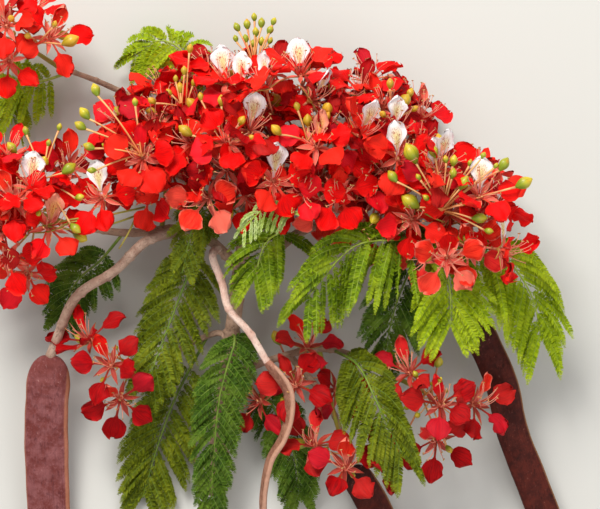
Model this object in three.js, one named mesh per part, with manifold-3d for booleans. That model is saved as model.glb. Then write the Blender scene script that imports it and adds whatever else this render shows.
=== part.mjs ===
// A flowering branch cut from a flame tree, lying on its back with its blooms facing up.
// Millimetres, +Z up. +Y runs from the ends of the pods to the crown of blooms, and the ground is z = 0.
// The branch is laid out around the middle of its blooms and leaves, then moved so that its box stands
// centred over the origin.

import * as THREE from "three";
import { mergeVertices } from "three/addons/utils/BufferGeometryUtils.js";
import Module from "manifold-3d";

const wasm = await Module();
wasm.setup();

const { degToRad, lerp } = THREE.MathUtils;

// Clearances
const JOINT_GAP = 0.3; // left between a solid and the one that carries it
const NEAREST = 0.25; // a petal, bud or leaf blade that comes nearer than this to another solid is left out

// One bloom: a standard petal, four broad petals round it, and a stamen bundle. Its cup is the shallow cone
// behind the petals.
const BLOOM = {
  petal: 57,
  petalWidth: 37,
  standardWidth: 25,
  hub: 7, // the petals' claws meet inside this radius
  thickness: 1.2, // at its heart, above the petals' plane
  cup: 6, // below that plane
  seat: 8, // from its axis to where a fused twig enters it
  stamen: 42,
  stamenRadius: 1,
  stamenOff: 7, // from its axis
};
const PETALS = 5;
// In shares of its length and width
const PETAL_OUTLINE = [[0.64, -0.5], [0.97, -0.26], [0.97, 0.26], [0.64, 0.5]];
const PLAIN_OUTLINE = [[0.76, -0.5], [1, 0], [0.76, 0.5]]; // of a petal in a bloom that is part of its truss
const PETAL_LEANS = [72, 54, 86, 98, 40].map(degToRad); // from the bloom's axis, first choice first
const PETAL_VARIES = 0.16; // radians either way
const BLOOM_SPACING = 56; // between the hearts of two blooms, or of a bloom and a truss
const PLACES_TRIED = 8; // on a truss's spiral, for each bloom
const LOWEST_BLOOM = 26;
const FACES_UP = 0.45; // how far a bloom turns from its truss's heart towards the sky
const FACES_CROWN = 0.4; // and towards the crown

// Buds, and the green twigs that carry buds and blooms
const BUD = { length: 24, width: 16 };
const PEDICEL_RADIUS = [1.7, 1.2];
const PEDUNCLE_RADIUS = [3.4, 2.4];
const PEDICEL_STEP = 7; // along the peduncle, from one twig to the next
const PEDICEL_BOWS = [0.4, 0.2, 0.6, 0.05]; // of its length, first choice first
const GOLDEN_ANGLE = Math.PI * (3 - Math.sqrt(5));
const TRUSS_OPENING = degToRad(96); // from a truss's axis to its outermost blooms
const BUD_OPENING = degToRad(72);
const BUD_REACH = 1.3; // of the truss's reach

// Leaves: a rib with pairs of blades, each blade standing for a row of leaflets
const RIB_RADIUS = [2.4, 1];
const BLADE_THICKNESS = 1.6;
const BLADE_WIDTH = 0.25; // of its length
const BARE_SEGMENTS = 1; // of a rib, below its first pair. Each pair has a segment of its own.
const BLADE_FROM = degToRad(78); // from the rib, at the first pair
const BLADE_TO = degToRad(34); // at the last pair

// Woody limbs. `from` names the limb that carries it and the share of its length where it leaves.
const LIMBS = {
  bough: {
    radius: [14, 10], sides: 10,
    path: [[-122, -344, 14], [-112, -230, 34], [-96, -110, 64], [-78, 20, 100]],
  },
  shoot_crown: { from: ["bough", 1], radius: [8, 5], path: [[-66, 80, 116], [-48, 148, 120]] },
  shoot_left: {
    from: ["bough", 0.9], radius: [7.5, 4.5],
    path: [[-150, 34, 96], [-240, 30, 84], [-318, 40, 74]],
  },
  shoot_right: {
    from: ["bough", 0.84], radius: [7.5, 4.5],
    path: [[10, 36, 104], [110, 44, 112], [192, 18, 118]],
  },
  shoot_top_left: {
    from: ["shoot_crown", 0.3],
    radius: [5.5, 3.5],
    path: [[-130, 130, 60], [-208, 205, 5], [-280, 244, 26], [-342, 266, 56]],
  },
  shoot_back: {
    from: ["shoot_right", 0.5], radius: [5.5, 4],
    path: [[110, 110, 70], [146, 176, 19], [160, 214, 3.8]],
  },
  shoot_low_right: {
    from: ["bough", 0.5],
    radius: [5.5, 3.5],
    path: [[10, -136, 58], [80, -144, 56], [140, -176, 56]],
  },
  shoot_low_left: { from: ["bough", 0.62], radius: [5.5, 3.5], path: [[-120, -112, 50], [-192, -146, 42]] },
  stalk_left: {
    from: ["shoot_left", 0.36],
    radius: [7, 7],
    path: [[-212, 20, 108], [-258, -22, 104], [-316, -62, 92], [-354, -145, 66]],
  },
  stalk_middle: {
    from: ["shoot_left", 0.16],
    radius: [5.4, 4.8],
    path: [[-122, -2, 120], [-108, -40, 134], [-98, -76, 140], [-70, -108, 138], [-45, -150, 132]],
  },
  stalk_right: { from: ["shoot_right", 0.97], radius: [6, 6], path: [[222, -40, 106], [238, -88, 90]] },
  stalk_low: { from: ["shoot_low_right", 0.25], radius: [4.5, 4.5], path: [[42, -215, 40], [74, -306, 28]] },
};

// Pods hang on from the end of a stalk. `turn` is how far the flat pod is turned about its length, in degrees
// from lying face up, at its stalk and at its tip.
const PODS = {
  pod_left: {
    stalk: "stalk_left",
    width: 62,
    thickness: 15,
    turn: [0, 0],
    path: [[-361, -250, 48], [-358, -420, 21], [-350, -612, 3]],
  },
  pod_right: {
    stalk: "stalk_right",
    width: 46,
    thickness: 14,
    turn: [0, 0],
    path: [
      [260, -126, 78], [285, -182, 66], [302, -252, 54], [332, -328, 40], [372, -432, 17], [400, -532, 2],
    ],
  },
  pod_low: {
    stalk: "stalk_low",
    width: 46,
    thickness: 13,
    turn: [0, 0],
    path: [[110, -368, 22], [150, -460, 12], [184, -560, 4.4]],
  },
  pod_twisted: {
    stalk: "stalk_middle",
    width: 28,
    thickness: 9,
    turn: [60, 84],
    path: [
      [-18, -186, 128], [-15, -222, 122], [-24, -256, 113],
      [-43, -292, 100], [-52, -360, 76], [-42, -470, 30],
    ],
  },
};
const POD_NECK = 0.14; // share of a pod's length over which it rounds out from its stalk
const POD_TIP = 0.1; // share over which it rounds off

// Trusses of blooms. Each hangs on `limb`, at the share of its length given by `at`. `reach` is from a truss's
// heart to its blooms. Its first `loose` blooms, nearest its axis, are solids of their own, and the others are
// part of it.
const TRUSSES = {
  front: { limb: "shoot_crown", at: 0.6, heart: [-96, 142, 136], axis: [0, 0.1, 1], turn: 0.2 },
  front_right: { limb: "shoot_right", at: 0.42, heart: [18, 138, 136], axis: [0.05, 0.1, 1], turn: 1.6 },
  left: { limb: "shoot_left", at: 0.5, heart: [-184, 150, 104], axis: [-0.25, 0.1, 1], turn: 0.4 },
  top: { limb: "shoot_crown", at: 1, heart: [-32, 188, 104], axis: [0.05, 0.4, 0.9], turn: 2.2 },
  upper_left: { limb: "shoot_crown", at: 0.85, heart: [-126, 184, 96], axis: [-0.2, 0.4, 0.9], turn: 1.1 },
  upper_right: { limb: "shoot_right", at: 0.6, heart: [88, 162, 106], axis: [0.2, 0.3, 0.9], turn: 0.9 },
  middle_right: { limb: "shoot_right", at: 0.8, heart: [138, 98, 130], axis: [0.1, 0.2, 1], turn: 2 },
  right: { limb: "shoot_right", at: 1, heart: [210, 48, 118], axis: [0.15, 0.35, 0.9], turn: 2.6 },
  far_left: { limb: "shoot_left", at: 1, heart: [-386, 66, 84], axis: [-0.05, 0.1, 1], turn: 1.3 },
  top_left: { limb: "shoot_top_left", at: 1, heart: [-400, 304, 66], axis: [-0.1, 0.2, 1], turn: 0.3 },
  low_right: { limb: "shoot_low_right", at: 1, heart: [188, -202, 64], axis: [0.1, -0.1, 1], turn: 1.9 },
  low_left: { limb: "shoot_low_left", at: 1, heart: [-252, -154, 48], axis: [-0.2, 0, 1], turn: 2.9 },
  low_middle: { limb: "shoot_low_right", at: 0.4, heart: [62, -284, 58], axis: [0, -0.2, 1], turn: 0.7 },
  low_centre: { limb: "shoot_low_right", at: 0.2, heart: [-6, -176, 34], axis: [0, -0.1, 1], turn: 2.3 },
};
const BEARS = {
  front: { reach: 80, blooms: 7, loose: 2, buds: 3 },
  front_right: { reach: 80, blooms: 7, loose: 2, buds: 4 },
  left: { reach: 74, blooms: 7, loose: 2, buds: 3 },
  top: { reach: 78, blooms: 6, loose: 2, buds: 4 },
  upper_left: { reach: 74, blooms: 5, loose: 1, buds: 3 },
  upper_right: { reach: 78, blooms: 7, loose: 2, buds: 4 },
  middle_right: { reach: 74, blooms: 5, loose: 0, buds: 3 },
  right: { reach: 72, blooms: 7, loose: 2, buds: 7 },
  far_left: { reach: 84, blooms: 6, loose: 2, buds: 3 },
  top_left: { reach: 66, blooms: 3, loose: 0, buds: 1 },
  low_right: { reach: 66, blooms: 4, loose: 0, buds: 2 },
  low_left: { reach: 62, blooms: 3, loose: 0, buds: 1 },
  low_middle: { reach: 62, blooms: 3, loose: 0, buds: 2 },
  low_centre: { reach: 62, blooms: 4, loose: 0, buds: 1 },
};

// Leaves. Each leaves `limb` at the share given by `at`, and its rib follows `path`.
const LEAVES = {
  leaf_right: {
    limb: "shoot_right", at: 0.93,
    path: [[238, 4, 140], [280, -2, 142], [322, -56, 116], [340, -122, 90]],
  },
  leaf_middle_right: { limb: "shoot_right", at: 0.74, path: [[142, 22, 160], [72, 10, 176], [4, -66, 150]] },
  leaf_middle_back: {
    limb: "shoot_right", at: 0.84,
    path: [[156, -10, 112], [134, -70, 108], [118, -140, 84]],
  },
  leaf_young_front: {
    limb: "shoot_right", at: 0.98,
    path: [[200, -20, 158], [206, -54, 168], [206, -98, 160]],
  },
  leaf_centre: { limb: "shoot_right", at: 0.2, path: [[-24, 30, 146], [-48, 14, 168], [-64, -36, 164]] },
  leaf_unfurling: {
    limb: "shoot_right",
    at: 0.14,
    path: [[-28, 40, 160], [-14, 54, 204], [-46, 62, 220], [-76, 36, 218]],
  },
  leaf_hanging_centre: {
    limb: "bough",
    at: 0.66,
    path: [[-92, -124, 98], [-112, -196, 92], [-122, -284, 70], [-128, -372, 44]],
  },
  leaf_hanging_left: {
    limb: "shoot_left", at: 0.26,
    path: [[-158, -30, 80], [-184, -96, 66], [-214, -176, 76]],
  },
  leaf_low_left: {
    limb: "shoot_low_left", at: 0.6,
    path: [[-176, -200, 36], [-206, -280, 24], [-226, -350, 12]],
  },
  leaf_low_right: {
    limb: "shoot_low_right", at: 0.5,
    path: [[82, -156, 112], [108, -208, 152], [144, -282, 146]],
  },
  leaf_low_middle: {
    limb: "shoot_low_right", at: 0.08,
    path: [[-40, -214, 40], [-10, -280, 34], [2, -356, 20]],
  },
  leaf_top_left: {
    limb: "shoot_top_left", at: 0.93,
    path: [[-372, 246, 44], [-406, 248, 34], [-414, 186, 20]],
  },
  leaf_top: {
    limb: "shoot_top_left",
    at: 0.5,
    path: [[-172, 254, 32], [-168, 290, 36], [-204, 305, 38], [-246, 276, 32]],
  },
  leaf_left: { limb: "shoot_left", at: 0.7, path: [[-282, -8, 66], [-318, -40, 54], [-344, -96, 36]] },
  leaf_under_blooms: {
    limb: "shoot_crown", at: 0.25,
    path: [[-108, 66, 126], [-144, 48, 134], [-164, -26, 120]],
  },
};

// Pairs of blades on each leaf, the longest blade, and how far the blades droop towards -Y
const BLADES = {
  leaf_right: { pairs: 9, longest: 98, droop: 1.6 },
  leaf_middle_right: { pairs: 9, longest: 98, droop: 1.2 },
  leaf_middle_back: { pairs: 6, longest: 76, droop: 0.9 },
  leaf_young_front: { pairs: 7, longest: 86, droop: 0.8 },
  leaf_centre: { pairs: 6, longest: 76, droop: 0.9 },
  leaf_unfurling: { pairs: 4, longest: 36, droop: 0.6 },
  leaf_hanging_centre: { pairs: 8, longest: 56, droop: 0.8 },
  leaf_hanging_left: { pairs: 8, longest: 80, droop: 0.8 },
  leaf_low_left: { pairs: 7, longest: 84, droop: 0.8 },
  leaf_low_right: { pairs: 8, longest: 84, droop: 1.6 },
  leaf_low_middle: { pairs: 6, longest: 60, droop: 0.8 },
  leaf_top_left: { pairs: 6, longest: 64, droop: 0.8 },
  leaf_top: { pairs: 6, longest: 58, droop: 0.8 },
  leaf_left: { pairs: 5, longest: 60, droop: 0.6 },
  leaf_under_blooms: { pairs: 6, longest: 50, droop: 0.8 },
};

// Colour and roughness
const BARK = [0x9a7d6b, 0.9];
const POD = [0x5a2b2c, 0.7];
const LEAF = [0x4f8a1c, 0.7];
const TRUSS = [0xa3471f, 0.6];
const PETAL = [0xd3100f, 0.55];

const UP = new THREE.Vector3(0, 0, 1);
const TO_CROWN = new THREE.Vector3(0, 1, 0);

const vector = (values) => new THREE.Vector3(...values);

// The same numbers every time, from 0 to 1
function seeded(seed) {
  let state = seed >>> 0;
  return () => {
    state = (state + 0x6d2b79f5) >>> 0;
    let mixed = Math.imul(state ^ (state >>> 15), 1 | state);
    mixed = (mixed + Math.imul(mixed ^ (mixed >>> 7), 61 | mixed)) ^ mixed;
    return ((mixed ^ (mixed >>> 14)) >>> 0) / 4294967296;
  };
}

function solidOf(geometry) {
  const bare = geometry.clone();
  bare.deleteAttribute("normal");
  bare.deleteAttribute("uv");
  const merged = mergeVertices(bare, 1e-4);
  const vertProperties = merged.attributes.position.array;
  const triVerts = new Uint32Array(merged.index.array);
  return new wasm.Manifold(new wasm.Mesh({ numProp: 3, vertProperties, triVerts }));
}

function geometryOf(solid) {
  const mesh = solid.getMesh();
  const geometry = new THREE.BufferGeometry();
  geometry.setAttribute("position", new THREE.BufferAttribute(mesh.vertProperties, 3));
  geometry.setIndex(new THREE.BufferAttribute(mesh.triVerts, 1));
  geometry.computeVertexNormals();
  return geometry;
}

// Moves every vertex of a geometry to where `place` puts it
function shaped(geometry, place) {
  const positions = geometry.attributes.position;
  const vertex = new THREE.Vector3();
  for (let i = 0; i < positions.count; i++) {
    vertex.fromBufferAttribute(positions, i);
    positions.setXYZ(i, ...place(vertex).toArray());
  }
  return geometry;
}

const curveThrough = (points) => new THREE.CatmullRomCurve3(points, false, "catmullrom", 0.5);

// A cylinder bent along a curve. section(share) gives the half width, half thickness and turn at that share of
// it, and its ends run past the curve's by `overrun`.
function bentTube(curve, sides, segments, section, overrun = 0) {
  const chord = curve.getPoint(1).sub(curve.getPoint(0)).normalize();
  const reference = Math.abs(chord.z) > 0.75 ? TO_CROWN : UP;
  return shaped(new THREE.CylinderGeometry(1, 1, 1, sides, segments), (vertex) => {
    const share = vertex.y + 0.5;
    const tangent = curve.getTangent(share);
    const across = tangent.clone().cross(reference).normalize();
    const raised = across.clone().cross(tangent);
    const { halfWidth, halfThickness, turn } = section(share);
    const offset = across.multiplyScalar(vertex.x * halfWidth);
    offset.addScaledVector(raised, vertex.z * halfThickness);
    const past = (share > 0.999) - (share < 0.001);
    offset.applyAxisAngle(tangent, turn).add(curve.getPoint(share));
    return offset.addScaledVector(tangent, past * overrun);
  });
}

function taperingTube(curve, [startRadius, endRadius], sides, segments, extra = 0) {
  const section = (share) => {
    const radius = lerp(startRadius, endRadius, share) + extra;
    return { halfWidth: radius, halfThickness: radius, turn: 0 };
  };
  return solidOf(bentTube(curve, sides, segments, section, extra));
}

// A closed plate round +Z through its corners: a faceted ball with its poles at two heights
function plate(corners, above, below) {
  const ball = new THREE.SphereGeometry(1, corners.length, 2);
  return shaped(ball, ({ x, y, z }) => {
    if (Math.abs(y) > 0.5) return new THREE.Vector3(0, 0, y > 0 ? above : -below);
    const corner = Math.round((Math.atan2(z, -x) / (2 * Math.PI)) * corners.length);
    return corners[(corner + corners.length) % corners.length];
  });
}

// The matrix that sets a shape made along +X, with +Z as its face, at a point
function standing(origin, along, face) {
  const x = along.clone().normalize();
  const y = face.clone().cross(x).normalize();
  const z = x.clone().cross(y);
  return new THREE.Matrix4().makeBasis(x, y, z).setPosition(origin);
}

const joined = (solids) => (solids.length === 1 ? solids[0] : wasm.Manifold.union(solids));

// The biggest piece of a solid, without the scraps that a cut leaves
function mainPiece(solid) {
  return solid.decompose().reduce((best, piece) => (piece.volume() > best.volume() ? piece : best));
}

const limbs = {};
const meshes = [];

// Each piece that is in place so far, with its box and the node that it belongs to
const inPlace = [];

function settle(node, solid) {
  inPlace.push({ node, solid, box: solid.boundingBox() });
}

function boxesNear(a, b) {
  return [0, 1, 2].every((k) => a.min[k] < b.max[k] + NEAREST && b.min[k] < a.max[k] + NEAREST);
}

// Whether a solid touches nothing but its own node
function isClear(node, solid) {
  const box = solid.boundingBox();
  return inPlace.every((other) => {
    if (other.node === node || !boxesNear(box, other.box)) return true;
    return solid.minGap(other.solid, NEAREST) >= NEAREST;
  });
}

// A limb, twig or rib without the part of it that would be inside a limb
function cutClear(solid) {
  return mainPiece(Object.values(limbs).reduce((left, limb) => left.subtract(limb.jacket), solid));
}

function addMesh(name, solid, [color, roughness]) {
  const material = new THREE.MeshStandardMaterial({ color, roughness, metalness: 0 });
  const mesh = new THREE.Mesh(geometryOf(solid), material);
  mesh.name = name;
  meshes.push(mesh);
}

// Limbs and pods

function addLimb([name, { from, radius, path, sides = 7 }]) {
  const start = from ? [limbs[from[0]].curve.getPoint(from[1])] : [];
  const curve = curveThrough([...start, ...path.map(vector)]);
  const segments = path.length * 2 + 1;
  const solid = cutClear(taperingTube(curve, radius, sides, segments));
  const jacket = taperingTube(curve, radius, sides, segments, JOINT_GAP);
  limbs[name] = { curve, jacket, endRadius: radius[1] };
  settle(name, solid);
  addMesh(name, solid, BARK);
}

function addPod([name, { stalk, width, thickness, turn, path }]) {
  const { curve: carrier, endRadius } = limbs[stalk];
  const foot = carrier.getPoint(1).addScaledVector(carrier.getTangent(1), -2);
  const curve = curveThrough([foot, ...path.map(vector)]);
  const section = (share) => {
    const neck = Math.sqrt(1 - Math.max(0, 1 - share / POD_NECK) ** 2);
    const pastTip = Math.max(0, (share - 1 + POD_TIP) / POD_TIP);
    const tip = Math.sqrt(Math.max(0.02, 1 - pastTip ** 2));
    return {
      halfWidth: lerp(endRadius, width / 2, neck) * tip,
      halfThickness: lerp(endRadius, thickness / 2, neck) * tip,
      turn: degToRad(lerp(turn[0], turn[1], share)),
    };
  };
  const solid = cutClear(solidOf(bentTube(curve, 8, 11, section)));
  settle(name, solid);
  addMesh(name, solid, POD);
}

// Blooms

function around(radius, share, height = 0) {
  const angle = share * 2 * Math.PI;
  return new THREE.Vector3(Math.cos(angle) * radius, Math.sin(angle) * radius, height);
}

// One petal's corners, in the order that they go round the bloom
function petalCorners(index, lean, outline) {
  const outward = around(Math.sin(lean), index / PETALS, Math.cos(lean));
  const sideways = around(1, index / PETALS + 0.25);
  const width = index === 0 ? BLOOM.standardWidth : BLOOM.petalWidth;
  return outline.map(([out, across]) => {
    const reach = out * BLOOM.petal;
    const limit = 0.66 * reach * Math.sin(lean);
    const aside = THREE.MathUtils.clamp(across * width, -limit, limit);
    return outward.clone().multiplyScalar(reach).addScaledVector(sideways, aside);
  });
}

// The petals as one plate, each at its own lean. A petal with no lean is left out.
function petalsSolid(place, leans, outline) {
  const corners = leans.flatMap((lean, index) => [
    around(BLOOM.hub, (index - 0.5) / PETALS),
    ...(lean === null ? [] : petalCorners(index, lean, outline)),
  ]);
  return solidOf(plate(corners, BLOOM.thickness, BLOOM.cup).applyMatrix4(place));
}

function stamensSolid({ heart, face, upright }) {
  const root = heart.clone().addScaledVector(upright, BLOOM.stamenOff).addScaledVector(face, -2);
  const end = root.clone().addScaledVector(face, BLOOM.stamen).addScaledVector(upright, -BLOOM.stamen / 3);
  return taperingTube(new THREE.LineCurve3(root, end), [BLOOM.stamenRadius, BLOOM.stamenRadius], 3, 1);
}

// The lean of each petal: the first one at which it touches nothing, or null
function petalLeans(node, place, seed, outline) {
  const random = seeded(seed);
  const bare = new Array(PETALS).fill(null);
  return bare.map((_, index) => {
    const varied = (random() - 0.5) * 2 * PETAL_VARIES;
    const alone = (lean) => petalsSolid(place, bare.with(index, lean + varied), outline);
    const free = PETAL_LEANS.find((lean) => isClear(node, alone(lean)));
    return free === undefined ? null : free + varied;
  });
}

// Directions on a spiral that opens from an axis
function spiral(axis, turn, count, opening) {
  const side = axis.clone().cross(TO_CROWN).normalize();
  return Array.from({ length: count }, (_, index) => {
    const lean = opening * Math.sqrt(index / Math.max(1, count - 1));
    const leaned = axis.clone().applyAxisAngle(side, lean);
    return leaned.applyAxisAngle(axis, turn + index * GOLDEN_ANGLE);
  });
}

// The hearts of the trusses, and of the blooms so far
const hearts = Object.values(TRUSSES).map(({ heart }) => vector(heart));

// A truss's blooms: the first places on its spiral that are no nearer to another bloom than the spacing. A
// bloom faces along `face`, and its standard petal points along `upright`, turned a little from the crown.
function placeBlooms({ heart, axis, turn, reach, blooms }) {
  const random = seeded(Math.round(turn * 1000) + blooms);
  const placed = [];
  for (const direction of spiral(vector(axis).normalize(), turn, blooms * PLACES_TRIED, TRUSS_OPENING)) {
    const roll = (random() - 0.5) * 1.2;
    const at = vector(heart).addScaledVector(direction, reach * (0.92 + 0.16 * random()));
    const crowded = hearts.some((other) => other.distanceTo(at) < BLOOM_SPACING);
    if (crowded || at.z < LOWEST_BLOOM || placed.length === blooms) continue;
    const face = direction.clone().addScaledVector(UP, FACES_UP);
    face.addScaledVector(TO_CROWN, FACES_CROWN).normalize();
    const upright = TO_CROWN.clone().addScaledVector(face, -TO_CROWN.dot(face)).normalize();
    upright.applyAxisAngle(face, roll);
    hearts.push(at);
    placed.push({ heart: at, face, upright, seed: 100 * hearts.length });
  }
  return placed;
}

// A truss's peduncle, from its limb to its heart
function startTruss([name, place]) {
  const spec = { ...place, ...BEARS[name] };
  const node = "truss_" + name;
  const start = limbs[spec.limb].curve.getPoint(spec.at);
  const heart = vector(spec.heart);
  const middle = start.clone().lerp(heart, 0.5).addScaledVector(vector(spec.axis), -6);
  const curve = new THREE.QuadraticBezierCurve3(start, middle, heart);
  const peduncle = cutClear(taperingTube(curve, PEDUNCLE_RADIUS, 5, 4));
  settle(node, peduncle);
  return { name, node, spec, curve, parts: [peduncle], blooms: placeBlooms(spec) };
}

function keep(truss, solid) {
  truss.parts.push(solid);
  settle(truss.node, solid);
}

// The twig that is the k-th down from the peduncle's end, bowed so that it touches nothing, or nothing at all
function pedicelSolid({ node, curve }, k, foot, face) {
  const root = curve.getPointAt(Math.max(0.35, 0.96 - (PEDICEL_STEP * k) / curve.getLength()));
  const length = root.distanceTo(foot);
  for (const bow of PEDICEL_BOWS) {
    const middle = foot.clone().addScaledVector(face, -length * bow);
    const solid = taperingTube(new THREE.QuadraticBezierCurve3(root, middle, foot), PEDICEL_RADIUS, 3, 2);
    if (isClear(node, solid)) return solid;
  }
  return null;
}

// A bloom of its own, just clear of its twig's end
function addLooseBloom(truss, bloom, k) {
  const foot = bloom.heart.clone().addScaledVector(bloom.face, -BLOOM.cup - JOINT_GAP);
  const pedicel = pedicelSolid(truss, k, foot, bloom.face);
  if (!pedicel) return;
  keep(truss, pedicel);
  const node = "bloom_" + truss.name + "_" + (k + 1);
  const place = standing(bloom.heart, bloom.upright, bloom.face);
  const petals = petalsSolid(place, petalLeans(node, place, bloom.seed, PETAL_OUTLINE), PETAL_OUTLINE);
  const stamens = stamensSolid(bloom);
  const solid = isClear(node, stamens) ? joined([petals, stamens]) : petals;
  settle(node, solid);
  addMesh(node, solid, PETAL);
}

// A bloom that is part of its truss, with its twig let into one petal beside the heart
function fuseBloom(truss, bloom, k) {
  const place = standing(bloom.heart, bloom.upright, bloom.face);
  const leans = petalLeans(truss.node, place, bloom.seed, PLAIN_OUTLINE);
  const carrying = [2, 3, 1, 4].find((index) => leans[index] !== null);
  if (carrying === undefined) return;
  const [side, tip] = petalCorners(carrying, leans[carrying], PLAIN_OUTLINE);
  const seat = side.lerp(tip, 0.5);
  seat.multiplyScalar(BLOOM.seat / Math.hypot(seat.x, seat.y));
  seat.z += (BLOOM.thickness - BLOOM.cup) / 2;
  const pedicel = pedicelSolid(truss, k, seat.applyMatrix4(place), bloom.face);
  if (!pedicel) return;
  keep(truss, pedicel);
  keep(truss, petalsSolid(place, leans, PLAIN_OUTLINE));
}

// A bud along +X, fuller towards its tip
function budSolid(foot, along) {
  const ball = new THREE.SphereGeometry(1, 4, 3);
  shaped(ball, ({ x, y, z }) => {
    const across = ((y > 0 ? 1 : 0.86) * BUD.width) / 2;
    return new THREE.Vector3((y + 0.9) * (BUD.length / 2), x * across, -z * across);
  });
  return solidOf(ball.applyMatrix4(standing(foot, along, TO_CROWN)));
}

// Buds stand out between the blooms, further from the heart
function addBuds(truss) {
  const { heart, axis, turn, reach, buds } = truss.spec;
  const directions = spiral(vector(axis).normalize(), turn + 2, buds + 1, BUD_OPENING).slice(1);
  directions.forEach((direction, index) => {
    const foot = vector(heart).addScaledVector(direction, reach * BUD_REACH - BUD.length);
    const bud = budSolid(foot, direction);
    const twig = pedicelSolid(truss, index + 0.5, foot.clone().addScaledVector(direction, 4), direction);
    if (!twig || !isClear(truss.node, bud)) return;
    keep(truss, twig);
    keep(truss, bud);
  });
}

// Leaves

function startLeaf([name, { limb, at, path }]) {
  const spec = BLADES[name];
  const curve = curveThrough([limbs[limb].curve.getPoint(at), ...path.map(vector)]);
  const rib = cutClear(taperingTube(curve, RIB_RADIUS, 3, spec.pairs + BARE_SEGMENTS));
  settle(name, rib);
  return { name, curve, spec, parts: [rib] };
}

// A blade with its root at the middle of the rib's segment
function bladeSolid(curve, pair, side, { pairs, longest, droop }) {
  const shareOf = (end) => (pair + BARE_SEGMENTS + end) / (pairs + BARE_SEGMENTS);
  const [below, above] = [0, 1].map((end) => curve.getPoint(shareOf(end)));
  const grown = pair / (pairs - 1);
  const tangent = above.clone().sub(below).normalize();
  const lateral = tangent.clone().cross(UP).normalize().multiplyScalar(side);
  const lean = lerp(BLADE_FROM, BLADE_TO, grown);
  const along = tangent.multiplyScalar(Math.cos(lean)).addScaledVector(lateral, Math.sin(lean));
  along.addScaledVector(TO_CROWN, -droop * 0.6).addScaledVector(UP, -0.12).normalize();
  const length = longest * (0.62 + 0.38 * Math.sin(Math.PI * (0.15 + 0.75 * grown)));
  const ball = new THREE.SphereGeometry(1, 4, 2);
  shaped(ball, ({ x, y, z }) => {
    const width = BLADE_WIDTH * length;
    return new THREE.Vector3(((1 - x) / 2) * length, (z / 2) * width, (y / 2) * BLADE_THICKNESS);
  });
  return solidOf(ball.applyMatrix4(standing(below.lerp(above, 0.5), along, UP)));
}

function addBlades({ name, curve, spec, parts }) {
  for (let pair = 0; pair < spec.pairs; pair++) {
    for (const side of [-1, 1]) {
      const solid = bladeSolid(curve, pair, side, spec);
      if (!isClear(name, solid)) continue;
      parts.push(solid);
      settle(name, solid);
    }
  }
  addMesh(name, joined(parts), LEAF);
}

Object.entries(LIMBS).forEach(addLimb);
Object.entries(PODS).forEach(addPod);
const leaves = Object.entries(LEAVES).map(startLeaf);
const trusses = Object.entries(TRUSSES).map(startTruss);
for (const truss of trusses) {
  truss.blooms.slice(0, truss.spec.loose).forEach((bloom, k) => addLooseBloom(truss, bloom, k));
}
for (const truss of trusses) {
  truss.blooms.slice(truss.spec.loose).forEach((bloom, k) => fuseBloom(truss, bloom, truss.spec.loose + k));
}
trusses.forEach(addBuds);
trusses.forEach(({ node, parts }) => addMesh(node, joined(parts), TRUSS));
leaves.forEach(addBlades);

// The branch stands centred over the origin, and touches the ground
const layout = new THREE.Group();
layout.add(...meshes);
const box = new THREE.Box3().setFromObject(layout);
const middle = box.getCenter(new THREE.Vector3());
layout.position.set(-middle.x, -middle.y, -box.min.z);

const branch = new THREE.Group();
branch.name = "flame_tree_branch";
branch.add(layout);

export default branch;
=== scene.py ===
"""A flowering branch cut from a flame tree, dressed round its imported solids.

The layout below is the source's own, in millimetres. Blooms, buds, twigs and leaves are grown from it by the
same rule as the solids, and carried on to single petals, stamens and leaflets.
"""

import functools
import math

import bpy
import numpy as np
from bpy.props import FloatProperty, FloatVectorProperty, PointerProperty
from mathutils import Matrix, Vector


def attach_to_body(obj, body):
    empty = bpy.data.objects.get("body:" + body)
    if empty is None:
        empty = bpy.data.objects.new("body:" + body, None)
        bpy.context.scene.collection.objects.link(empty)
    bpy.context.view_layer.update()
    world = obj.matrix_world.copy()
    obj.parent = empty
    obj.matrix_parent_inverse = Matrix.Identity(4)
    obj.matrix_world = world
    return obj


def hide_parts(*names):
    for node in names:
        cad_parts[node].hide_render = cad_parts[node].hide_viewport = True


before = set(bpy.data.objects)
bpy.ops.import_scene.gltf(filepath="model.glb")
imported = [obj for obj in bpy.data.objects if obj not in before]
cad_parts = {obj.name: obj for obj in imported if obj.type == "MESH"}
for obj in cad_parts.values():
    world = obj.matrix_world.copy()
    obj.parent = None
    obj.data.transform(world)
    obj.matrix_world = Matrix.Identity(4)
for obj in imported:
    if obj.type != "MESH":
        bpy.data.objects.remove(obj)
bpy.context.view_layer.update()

bl_info = {
    "name": "Flame Tree Branch",
    "version": (1, 0, 0),
    "blender": (4, 5, 0),
    "location": "View3D > Sidebar > Flame Tree",
    "description": "Makes the bark, pods, blooms, buds and leaves of a cut flame tree branch",
    "category": "Add Mesh",
}

MILLIMETRE = 0.001
CAMERA_HEIGHT = 3300  # over the ground, in millimetres
SHARP_HEIGHT = 100  # over the ground, where a pixel of the photograph is 1.4 mm
SHIFT = np.array([47.0719, 122.0591, 0.0505])  # from the layout to the part's own frame
UP = np.array([0.0, 0.0, 1.0])
TO_CROWN = np.array([0.0, 1.0, 0.0])

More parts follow.
